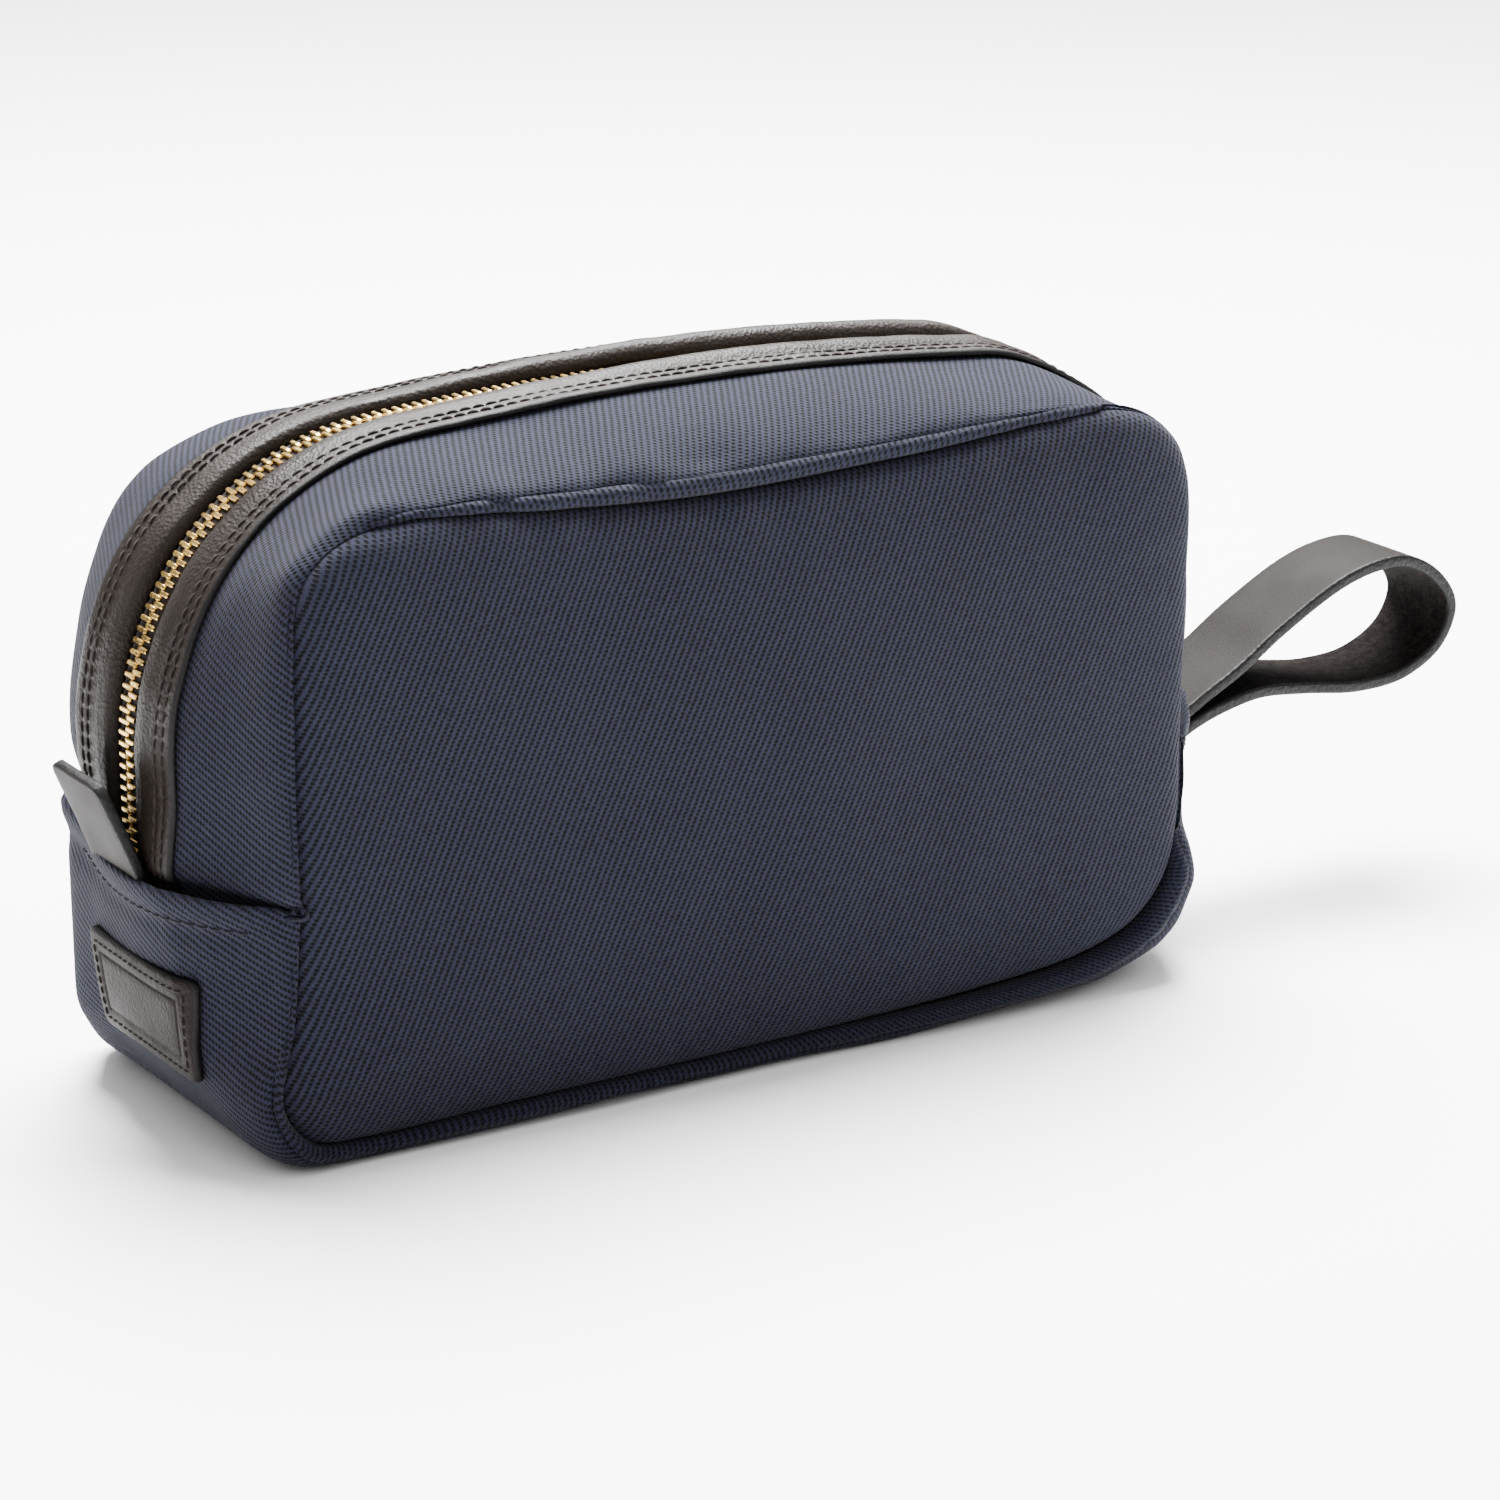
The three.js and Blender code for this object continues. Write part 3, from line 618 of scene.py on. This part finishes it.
def stitch_row(name, points, outward, pitch, length, radius, skew, material, sink=0.15):
    """Separate stitches along a polyline: each a short arched thread, slightly slanted."""
    run = lengths(points)
    verts, faces, weave = [], [], []
    around = 6
    shares = (-0.5, -0.36, -0.12, 0.12, 0.36, 0.5)
    arch = (-0.75, 0.1, 0.55, 0.55, 0.1, -0.75)
    girth = (0.55, 0.95, 1.0, 1.0, 0.95, 0.55)
    for k in range(int(run[-1] / pitch)):
        at = (k + 0.5) * pitch
        centre, ahead, behind = (sample(at + step, run, points) for step in (0, 0.8, -0.8))
        up = sample(at, run, outward)
        up /= np.linalg.norm(up)
        along = (ahead - behind) / np.linalg.norm(ahead - behind)
        side = np.cross(up, along)
        tilt = skew + random.uniform(-0.04, 0.04)
        along = along * math.cos(tilt) + side * math.sin(tilt)
        side = np.cross(up, along)
        first = len(verts)
        for share, lift, width in zip(shares, arch, girth):
            middle = centre + along * share * length + up * (lift * radius + sink)
            for j in range(around):
                a = 2 * math.pi * j / around
                verts.append(middle + (side * math.cos(a) + up * math.sin(a)) * radius * width)
                weave.append((share * length, a))
        faces += tube_faces(len(shares), around, first)
    finish_piece(make_mesh(name, verts, faces, np.array(weave)), material, replaces="")


def hem_stitching(end, grid, row):
    """A row of stitches across the lower gusset, a little below its folded edge."""
    out, line = outward_normals(grid)[row], grid[row]
    out *= np.sign((out * (line - (0, 0, FOLD_Z))).sum(axis=1))[:, None]
    inner = (line[:, 1] > -40) & (line[:, 1] < 24)
    stitch_row(f"hem_stitching_{end}", (line + out * 0.15)[inner], out[inner], STITCH_PITCH, 2.3, 0.24,
               0.14, NAVY_THREAD)


def draw_in(grid):
    """The lower gusset's roll stands proud of the top strip's and draws in to it near the folds."""
    beyond = np.maximum(np.abs(grid[:, :, 1]) - SEAM_DEPTH_Y, 0)
    grid[:, :, 1] -= np.sign(grid[:, :, 1]) * beyond * 0.34 * smooth(grid[:, :, 2], 34, 58) * (
        smooth(grid[:, :, 0], 90, 110))
    return grid


def gusset_sheet(strip, first_y, seed, side=1, both_sides=False, steps=34):
    """A gusset as an open sheet from y = first_y to the seam, or from seam to seam."""
    crown = first_y + (strip.roll - first_y) * np.sin(np.linspace(0, math.pi / 2, steps))
    half = [(y, 0.0) for y in crown]
    half += [(strip.roll - y, rise * (1 + 0.9 * strip.upright)) for y, rise in SEAM_TUCK]
    rows = [(-y, r) for y, r in reversed(half[1:])] + half if both_sides else half
    grid = np.array([strip.at(y * side, rise) for y, rise in rows]).transpose(1, 0, 2)
    grid = grid * (1, side, 1)
    if both_sides:
        grid = draw_in(grid)
    ys = np.array([y for y, _ in rows])
    out = outward_normals(grid)
    to_seam = strip.roll - np.abs(ys)
    free = smooth(to_seam, 0.2, 6.0)
    held = 1.0 if both_sides else smooth(np.abs(ys), 16, 26)
    lifted = smooth(grid[:, :, 2], 3, 14)
    swell = ripple(grid, 48.0, 1.7, seed) + ripple(grid, 20.0, 0.5, seed + 3)
    gathers = ripple(np.outer(strip.s, (1, 0, 0)), GATHER_PITCH, 1.0, seed + 5)
    pucker = np.outer(gathers, np.exp(-to_seam / 8.0) * smooth(to_seam, 0.1, 2.0))
    amount = (swell * free * held + pucker) * lifted + dents(grid * (1, side, 1)) * free
    grid = grid + out * amount[:, :, None]
    grid[:, :, 2] = np.maximum(grid[:, :, 2], 0.05)
    return grid, ys


def arc_across(grid):
    """Distance of every point of a sheet from its middle column, measured along its own row."""
    along = np.array([lengths(row) for row in grid])
    return along - along[:, along.shape[1] // 2][:, None]


def sheet_object(name, grid, s, material, slot, thickness, lean=1):
    rows, cols = grid.shape[:2]
    weave = np.stack([np.repeat(s, cols) * lean, arc_across(grid).ravel()], axis=1)
    obj = make_mesh(name, grid.reshape(-1, 3), grid_faces(rows, cols), weave)
    thicken(obj, thickness)
    finish_piece(obj, material)


def with_hems(grid, s):
    """Turns both ends of the lower gusset over to the inside and drapes the folds a little."""
    for end in (0, -1):
        near = grid[0] - grid[4] if end == 0 else grid[-1] - grid[-5]
        up = near / np.linalg.norm(near, axis=1)[:, None]
        edge = grid[end]
        inward = np.array([-math.copysign(1.0, edge[0][0]), 0, 0])
        across = lengths(edge)
        free = 0.3 + 0.7 * smooth(np.minimum(across, across[-1] - across), 3.0, 11.0)[:, None]
        turned = [edge + (up * max(rise, -3.0) + inward * depth) * free
                  for rise, depth in ((0.8, 0.25), (1.4, 0.8), (1.6, 1.5), (1.4, 2.3), (0.6, 3.0),
                                      (-1.5, 3.2), (-6.0, 3.3))]
        extra = np.cumsum([0.8, 0.8, 0.8, 0.8, 0.8, 1.8, 4.5])
        if end == 0:
            grid = np.vstack([np.array(turned)[::-1], grid])
            s = np.concatenate([s[0] - extra[::-1], s])
        else:
            grid = np.vstack([grid, np.array(turned)])
            s = np.concatenate([s, s[-1] + extra])
    return grid, s


def raise_back_left(grid):
    """The fold at the left end climbs towards the back."""
    climb = 7.0 * smooth(grid[:, :, 1], 0, 40) * smooth(grid[:, :, 2], 34, 60)
    grid[:, :, 2] += climb * smooth(-grid[:, :, 0], 90, 115)
    return grid


def flare(grid):
    """Near its folded edges the lower gusset stands away, with a shallow trough where it is sewn."""
    z, x = grid[:, :, 2], grid[:, :, 0]
    away = 1.4 * smooth(z, 54.5, 60) - 0.6 * np.exp(-(((z - 53.5) / 2.2) ** 2))
    middle = smooth(46 - np.abs(grid[:, :, 1]), 0, 10)
    grid[:, :, 0] += np.sign(x) * away * middle * smooth(np.abs(x), 100, 115)
    return grid


def gusset_lining(name, strip, first_y, seed, side=1, both_sides=False):
    """The lining sheet that lies under a gusset."""
    grid, ys = gusset_sheet(strip, first_y, seed, side, both_sides)
    keep = np.abs(ys) < strip.roll - 1.2
    keep &= np.arange(len(ys)) < len(ys) - len(SEAM_TUCK)
    keep[:len(SEAM_TUCK)] &= not both_sides
    out = outward_normals(grid)
    depth = 2.3 if both_sides else 2.3 + 1.7 * smooth(18.5 - np.abs(ys), 0, 3)[None, :, None]
    grid = (grid - out * depth)[:, keep]
    short = slice(3, -3)
    sheet_object(name, grid[short] * (1, side, 1), strip.s[short], LINING, "lining", LINING_THICK)


def build_linings():
    for seed, (name, side) in enumerate(SIDES, 1):
        panel(f"{name}_lining", side, seed, 2.1, 5, LINING, LINING_THICK)
        seam_binding(f"{name}_seam_binding", side)
        gusset_lining(f"top_lining_{name}", TOP, LINING_INNER_Y, seed + 2, side)
    gusset_lining("lower_lining", LOWER, 0.0, 6, both_sides=True)


def build_cloth():
    for seed, (name, side) in enumerate(SIDES, 1):
        panel(f"{name}_panel", side, seed)
        grid = gusset_sheet(TOP, CLOTH_INNER_Y, seed + 2, side)[0] * (1, side, 1)
        sheet_object(f"top_gusset_{name}", grid, TOP.s, NAVY, "twill", CLOTH_THICK, lean=side)
    grid = raise_back_left(flare(gusset_sheet(LOWER, 0.0, 6, both_sides=True)[0]))
    for end, row in (("right", 3), ("left", -4)):
        hem_stitching(end, grid, row)
    sheet_object("lower_gusset", *with_hems(grid, LOWER.s), NAVY, "twill", CLOTH_THICK)


build_cloth()
build_linings()


# ---- sections swept along the zip ----
def sweep_section(name, strip, section, start, end, jitter=0.0, seed=0, slots=(0,)):
    """A closed section of (y, rise) points carried along a gusset strip, with both ends capped."""
    first, last = (int(round(share * (len(strip.s) - 1))) for share in (start, end))
    picks = np.arange(first, last + 1)
    grid = np.array([strip.at(y, rise + shaped(y, rise, strip))[picks]
                     for y, rise in section]).transpose(1, 0, 2)
    if jitter:
        wave = ripple(grid, 14.0, jitter, seed) + ripple(grid, 5.0, jitter * 0.35, seed + 1)
        grid = grid + on_axis(strip.normal[picks])[:, None, :] * wave[:, :, None]
    rows, cols = grid.shape[:2]
    tags = [*np.resize(slots, (rows - 1) * cols), 0, 0]
    around = lengths(np.array(list(section) + [section[0]], float))[:-1]
    weave = np.stack([np.repeat(strip.s[picks], cols), np.tile(around, rows)], axis=1)
    return close_out(make_mesh(name, grid.reshape(-1, 3), tube_faces(rows, cols), weave, slots=tags))


def left_share(strip):
    """1 on the left end of the bag, where the zip is stretched tight, 0 over the top."""
    return smooth(-strip.mid[:, 0], -25, 90)


def shaped(y, rise, strip):
    """How much the left end changes a (y, rise) point of a section along the zip."""
    chain = 1.8 * float(smooth(6.6 - abs(y), 0, 3.0)) if rise < -2.2 else 0.0
    ridge = -1.25 * float(smooth(rise, 1.4, 3.0))
    return left_share(strip) * (chain + ridge) + smooth(strip.mid[:, 0], 60, 115) * ridge


def mirror(section, side):
    return [(side * y, rise) for y, rise in section]


# outer painted edge, two sewn valleys, a soft roll, and the wall down to the tape
BINDING_SECTION = [
    (19.1, 0.25), (19.4, 0.5), (19.45, 1.1), (19.2, 1.55), (18.6, 1.75), (17.6, 1.75), (16.9, 1.55),
    (16.4, 1.35), (15.9, 1.5), (15.2, 1.8), (14.5, 1.65), (14.0, 1.4), (13.5, 1.6), (12.8, 2.1),
    (11.8, 2.65), (10.6, 3.0), (9.4, 3.05), (8.3, 2.75), (7.3, 2.1), (6.6, 1.1), (6.2, 0.0),
    (6.05, -1.1), (6.1, -2.0), (6.9, -2.1), (7.4, -0.9), (8.2, 0.2), (9.4, 0.25), (14.0, 0.25)]
TAPE_SECTION = [(0.5, -2.45), (3.4, -2.45), (4.4, -2.45), (5.4, -2.45), (6.6, -2.45), (9.6, -2.4),
                (17.0, -1.9), (17.0, -2.5), (9.6, -3.05), (6.6, -3.1), (5.4, -3.1), (4.4, -3.1),
                (3.4, -3.1), (0.5, -3.1)]


def build_zip():
    tags = [1 if k < 4 else 0 for k in range(len(BINDING_SECTION))]
    for name, side in SIDES:
        binding = sweep_section(f"zip_binding_{name}", TOP, mirror(BINDING_SECTION, side), 0.006, 0.994,
                                0.35, 11 + side, tags)
        finish_piece(binding, [TRIM, TRIM_EDGE])
        tape = sweep_section(f"zip_tape_{name}", TOP, mirror(TAPE_SECTION, side), 0.01, 0.99)
        finish_piece(tape, TAPE)
        for row, (y, rise) in (("outer", (16.4, 1.3)), ("inner", (14.0, 1.35))):
            points = TOP.at(side * y, rise)[4:-4]
            stitch_row(f"binding_stitching_{row}_{name}", points, on_axis(TOP.normal)[4:-4],
                       STITCH_PITCH, 2.9, 0.36, 0.16 * side, BROWN_THREAD)
        teeth(name, side)
        stop(f"zip_top_stop_{name}", side * 0.6, side * 3.2, CHAIN_END_Z - 3.2, right=True)
    stop("zip_bottom_stop", -3.2, 3.2, CHAIN_START_Z - 3.0, right=False)


def zip_frame(s):
    """Point, tangent and outward normal on the top of the teeth for a distance s along the path."""
    mid = TOP.mid - TOP.normal * (CLOTH_OVER_TEETH - 1.8 * left_share(TOP))[:, None]
    point, out = sample(s, TOP.s, on_axis(mid)), sample(s, TOP.s, on_axis(TOP.normal))
    out /= np.linalg.norm(out)
    return point, np.array([out[2], 0, -out[0]]), out


def path_distance(z, right):
    """Distance along the zip path of a height on one of its straight ends."""
    rest = z - (FOLD_Z - TUCK)
    return ZIP_LENGTH - rest if right else rest


def teeth(name, side):
    """One row of separate brass teeth, each clamped on the tape and reaching past the middle."""
    # stations from the tape to the tip: distance from the middle, half width, half depth
    stations = [(3.5, 0.42, 0.9), (3.25, 0.56, 1.15), (1.5, 0.58, 1.18), (0.5, 0.56, 1.15),
                (0.1, 0.60, 1.05), (-0.45, 0.55, 0.95), (-0.7, 0.35, 0.7)]
    chamfer = 0.22
    verts, faces, weave = [], [], []
    start, end = path_distance(CHAIN_START_Z, False), path_distance(CHAIN_END_Z, True)
    shift = 0 if side < 0 else TOOTH_PITCH / 2
    count = int((end - start - shift) / TOOTH_PITCH)
    for k in range(count):
        point, along, out = zip_frame(start + shift + (k + 0.5) * TOOTH_PITCH)
        centre = point - out * 1.15
        first = len(verts)
        for y, w, d in stations:
            c = min(chamfer, w * 0.6)
            for a, b in ((w, d - c), (w - c, d), (c - w, d), (-w, d - c), (-w, c - d), (c - w, -d),
                         (w - c, -d), (w, c - d)):
                verts.append(centre + along * a + out * b + np.array([0, side * y, 0]))
                weave.append((k, y))
        faces += tube_faces(len(stations), 8, first)
    obj = close_out(make_mesh(f"zip_teeth_{name}", verts, faces, np.array(weave), shade=False))
    finish_piece(obj, BRASS, replaces=f"zip_chain_{name}")


def rounded_boxes(name, boxes, to_world):
    """One object from bevelled boxes, each (low, high, radius) in axes that a function places."""
    verts, faces = [], []
    for low, high, radius in boxes:
        mesh = bmesh.new()
        bmesh.ops.create_cube(mesh, size=1.0)
        for v in mesh.verts:
            v.co = [a + (share + 0.5) * (b - a) for a, b, share in zip(low, high, v.co)]
        bmesh.ops.bevel(mesh, geom=mesh.edges[:], offset=radius, segments=3, affect="EDGES")
        mesh.verts.index_update()
        first = len(verts)
        verts += [to_world(v.co) for v in mesh.verts]
        faces += [tuple(first + v.index for v in f.verts) for f in mesh.faces]
        mesh.free()
    return close_out(make_mesh(name, verts, faces, np.zeros((len(verts), 2))))


def stop(name, y0, y1, z, right):
    """A small folded brass block across one or both rows of teeth."""
    point, along, out = zip_frame(path_distance(z + 1.4, right))
    across = np.array([0, 1, 0])
    low, high = sorted((y0, y1))
    obj = rounded_boxes(name, [((-2.45, low, -1.35), (0.1, high, 1.35), 0.35)],
                        lambda v: point + out * v[0] + across * v[1] + along * v[2])
    finish_piece(obj, BRASS)


def build_slider():
    """Slider with two shaped plates, side flanges, a web and a bridge, and its puller."""
    point = np.array([SHOULDER_X + ZIP_RADIUS, 0, SHOULDER_Z])
    # the two plates, the web between them, the flanges, then the posts and the top of the bridge
    boxes = [((0.45, -4.8, -5.4), (1.5, 4.8, 5.4), 0.45), ((-3.8, -4.8, -5.4), (-2.75, 4.8, 5.4), 0.45),
             ((-3.2, -0.35, 0.6), (0.9, 0.35, 4.4), 0.12),
             ((-0.1, -4.8, -4.6), (1.0, -4.0, 4.6), 0.3), ((-0.1, 4.0, -4.6), (1.0, 4.8, 4.6), 0.3),
             ((1.2, -1.2, -4.5), (4.7, 1.2, -3.5), 0.35), ((1.2, -1.2, 3.5), (4.7, 1.2, 4.5), 0.35),
             ((3.85, -1.2, -4.5), (4.75, 1.2, 4.5), 0.35)]
    slider = rounded_boxes("zip_slider_body", boxes, lambda v: point + np.array(v))
    finish_piece(slider, BRASS, body="slider", replaces="zip_slider")
    # the puller's crossbar, two arms, tag and raised grip: y and z of two corners, half depth, radius
    outlines = [(-3.0, -0.6, 3.0, 0.6, 0.55, 0.3), (-3.0, -6.4, -1.75, 0.4, 0.55, 0.3),
                (1.75, -6.4, 3.0, 0.4, 0.55, 0.3), (-3.0, -22.8, 3.0, -5.6, 0.6, 0.5),
                (-2.0, -20.5, 2.0, -9.0, 0.85, 0.4)]
    rise = 2.75
    boxes = [((rise - d, y0, z0), (rise + d, y1, z1), radius) for y0, z0, y1, z1, d, radius in outlines]
    puller = rounded_boxes("zip_puller_tag", boxes, lambda v: point + np.array(v))
    finish_piece(puller, BRASS, body="puller", replaces="zip_puller")


# ---- flat leather ----
def ribbon(name, path, halves, thicks, across_steps=10):
    """A leather strip along a path in the XZ plane. Face slots: 0 outer side, 1 inner side, 2 edge."""
    normal = normals_2d(path)
    turn = np.linspace(0, math.pi / 2, 4)[1:-1]
    rows = []
    for k in range(len(path)):
        w, t = halves[k], thicks[k] / 2
        c = min(0.7, t * 0.95)
        half = [(b, t) for b in np.linspace(c - w, w - c, across_steps + 1)]
        half += [(w - c + c * math.sin(a), t - c + c * math.cos(a)) for a in turn]
        half += [(w, t - c), (w, c - t)]
        half += [(w - c + c * math.cos(a), c - t - c * math.sin(a)) for a in turn]
        ring = half + [(-b, -h) for b, h in half]
        rows.append([(path[k][0] + normal[k][0] * h, b, path[k][1] + normal[k][1] * h) for b, h in ring])
    grid = np.array(rows)
    count, cols = grid.shape[:2]
    edge = [2] * (2 * len(turn) + 3)
    slots = ([0] * across_steps + edge + [1] * across_steps + edge) * (count - 1) + [2, 2]
    return close_out(make_mesh(name, grid.reshape(-1, 3), tube_faces(count, cols),
                               np.zeros((count * cols, 2)), slots=slots))


# middle line of the strap's leather, out along the top layer and back along the lower one
STRAP_LINE = [
    (132.0, 44.2), (137.0, 47.2), (141.7, 50.9), (150.0, 55.9), (161.7, 62.0), (174.3, 70.1),
    (193.1, 79.7), (205.1, 82.7), (214.4, 82.5), (224.6, 76.8), (229.7, 68.6), (226.0, 59.3),
    (215.0, 52.9), (200.2, 51.5), (182.2, 53.8), (168.2, 54.9), (156.6, 52.9), (149.0, 50.5),
    (143.2, 47.8), (138.0, 44.6), (133.0, 41.6)]
# the same for the tab, from inside the bag to its tip
TAB_LINE = [(-133.6, 45.5), (-135.4, 50.0), (-137.6, 55.5), (-139.7, 61.2), (-141.3, 65.6), (-143.8, 72.0),
            (-146.8, 79.0), (-149.2, 84.9)]


def bending_leather(obj, replaced):
    """Finishes a strip that is held in the bag at start: its materials, the CAD part that it replaces, and
    its placement baked into the mesh.
    """
    finish_piece(obj, [STRAP_GRAIN, STRAP_FLESH, STRAP_EDGE], None, replaced)
    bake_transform(obj)


def build_leather():
    line = resample(catmull(STRAP_LINE), np.linspace(0, 1, 170))
    strap = ribbon("wrist_strap_leather", line, [STRAP_WIDTH / 2] * len(line), [STRAP_THICK] * len(line))
    bending_leather(strap, "wrist_strap")

    line = catmull(TAB_LINE)
    shares = np.concatenate([np.linspace(0, 0.9, 30), np.linspace(0.905, 1, 16)])
    left = lengths(line)[-1] * (1 - shares)
    dip = np.clip(TAB_CORNER - left, 0, TAB_CORNER)
    halves = TAB_WIDTH / 2 - TAB_CORNER + np.sqrt(np.maximum(TAB_CORNER**2 - dip**2, 0))
    thicks = TAB_THICK * np.where(left < 0.5, 0.62 + 0.38 * left / 0.5, 1.0)
    tab = ribbon("end_tab_leather", resample(line, shares), halves, thicks)
    bending_leather(tab, "end_tab")


def lower_distance(z):
    """Distance along the lower gusset of a height on its left end."""
    half = len(LOWER.s) * 3 // 4
    return float(np.interp(z, LOWER.mid[half:, 1], LOWER.s[half:]))


def lower_point(s, y, rise):
    """A point over the lower gusset, for a distance along it and across it."""
    return sample(s, LOWER.s, LOWER.at(y, rise))


def build_label():
    """The leather patch, cambered over the lower gusset, with a plain pressed frame and its stitching."""
    top, bottom = lower_distance(LABEL_TOP_Z), lower_distance(LABEL_BOTTOM_Z)
    middle, reach, half = (top + bottom) / 2, (top - bottom) / 2, LABEL_HALF
    frame_inset, frame_depth, frame_width = 5.2, 0.45, 0.3

    def steps(extent, count):
        """Places across the label with their heights: up the rim, over the face and down again."""
        rim = [(0.0, 0.15), (0.0, 1.3), (0.3, 1.8), (0.9, LABEL_THICK)]
        pressed = [extent - frame_inset + d for d in (-0.5, 0, 0.5)]
        face = sorted([*np.linspace(1.6 - extent, extent - 1.6, count), *pressed, *(-v for v in pressed)])
        return ([(d - extent, h) for d, h in rim] + [(v, LABEL_THICK) for v in face]
                + [(extent - d, h) for d, h in reversed(rim)])

    def place(a, b, height):
        if height == LABEL_THICK:
            off_line = max(abs(a) - reach, abs(b) - half) + frame_inset
            height -= frame_depth * math.exp(-((off_line / frame_width) ** 2))
        da, db = abs(a) - (reach - LABEL_CORNER), abs(b) - (half - LABEL_CORNER)
        if da > 0 and db > 0:
            shrink = max(da, db) / math.hypot(da, db)
            a = math.copysign(reach - LABEL_CORNER + da * shrink, a)
            b = math.copysign(half - LABEL_CORNER + db * shrink, b)
        return lower_point(middle + a, b + LABEL_Y, height)

    a_steps, b_steps = steps(reach, 12), steps(half, 22)
    rows, cols = len(a_steps), len(b_steps)
    upper = [place(a, b, min(ha, hb)) for a, ha in a_steps for b, hb in b_steps]
    lower = [place(a, b, 0.15) for a, _ in a_steps for b, _ in b_steps]
    faces = grid_faces(rows, cols) + grid_faces(rows, cols, first=rows * cols)
    edge_rows = (0, 1, rows - 3, rows - 2)
    edge_cols = (0, 1, cols - 3, cols - 2)
    slots = [int(i in edge_rows or j in edge_cols) for i in range(rows - 1) for j in range(cols - 1)]
    slots += [1] * len(slots)
    label = make_mesh("label_leather", upper + lower, faces, np.zeros((2 * rows * cols, 2)), slots=slots)
    close_out(label, weld=True)
    finish_piece(label, [LABEL, TRIM_EDGE], replaces="label_patch")

    inset = 2.7
    a_in, b_in = reach - inset, half - inset
    loop = np.array([(-a_in, -b_in), (-a_in, b_in), (a_in, b_in), (a_in, -b_in), (-a_in, -b_in)])
    for k in range(4):
        route = [loop[k] + (loop[k + 1] - loop[k]) * t for t in np.linspace(0, 1, 24)]
        line, lifted = (np.array([lower_point(middle + a, b + LABEL_Y, height) for a, b in route])
                        for height in (2.0, 3.0))
        stitch_row(f"label_stitching_{k + 1}", line, lifted - line, 2.6, 2.1, 0.3, 0.12, BROWN_THREAD,
                   sink=0.05)


build_zip()
build_slider()
build_leather()
build_label()


# ---- floor, light and camera ----
def build_stage():
    bpy.ops.mesh.primitive_plane_add(size=6, location=(0, 0, 0))
    floor = bpy.context.object
    floor.name = "floor"
    n = Nodes("pale_floor")
    clouds = n.noise(n.place(), 3.0, 2.0)
    floor.data.materials.append(n.surface(n.mix(clouds, (0.92, 0.92, 0.92), (0.94, 0.94, 0.94)), 0.6))
    world = bpy.data.worlds.new("studio")
    bpy.context.scene.world = world
    world.use_nodes = True
    tree = world.node_tree
    heading = tree.nodes.new("ShaderNodeSeparateXYZ")
    tree.links.new(tree.nodes.new("ShaderNodeTexCoord").outputs["Generated"], heading.inputs[0])
    strength = tree.nodes.new("ShaderNodeMath")
    strength.operation = "MULTIPLY"
    # brighter overhead, and a little darker towards the left: axis, its range, and the strengths there
    for k, (axis, *limits) in enumerate(((2, 0.0, 0.95, 0.1, 2.7), (0, -0.7, 0.5, 0.55, 1.0))):
        ramp = tree.nodes.new("ShaderNodeMapRange")
        tree.links.new(heading.outputs[axis], ramp.inputs[0])
        for socket, number in zip(list(ramp.inputs)[1:], limits):
            socket.default_value = number
        tree.links.new(ramp.outputs[0], strength.inputs[k])
    tree.nodes["Background"].inputs[0].default_value = (1, 1, 1, 1)
    tree.links.new(strength.outputs[0], tree.nodes["Background"].inputs[1])
    for name, place, size, power in (
        ("key", (0.3, 0.5, 1.4), 1.2, 265.0),
        ("fill", (-1.2, -1.2, 0.7), 1.2, 1.0),
    ):
        light = bpy.data.lights.new(name, "AREA")
        light.shape = "DISK"
        light.size = size
        light.energy = power
        lamp = bpy.data.objects.new(name, light)
        lamp.location = place
        lamp.rotation_euler = (Vector((0, 0, 0.07)) - Vector(place)).to_track_quat("-Z", "Y").to_euler()
        bpy.context.collection.objects.link(lamp)


def build_camera():
    data = bpy.data.cameras.new("camera")
    data.sensor_width = 36.0
    data.lens = 113.99
    data.clip_start = 0.05
    camera = bpy.data.objects.new("camera", data)
    camera.location = (-0.54723, -0.91381, 0.40377)
    camera.rotation_euler = (math.radians(72.348), 0, math.radians(-32.018))
    bpy.context.collection.objects.link(camera)
    bpy.context.scene.camera = camera


build_stage()
build_camera()
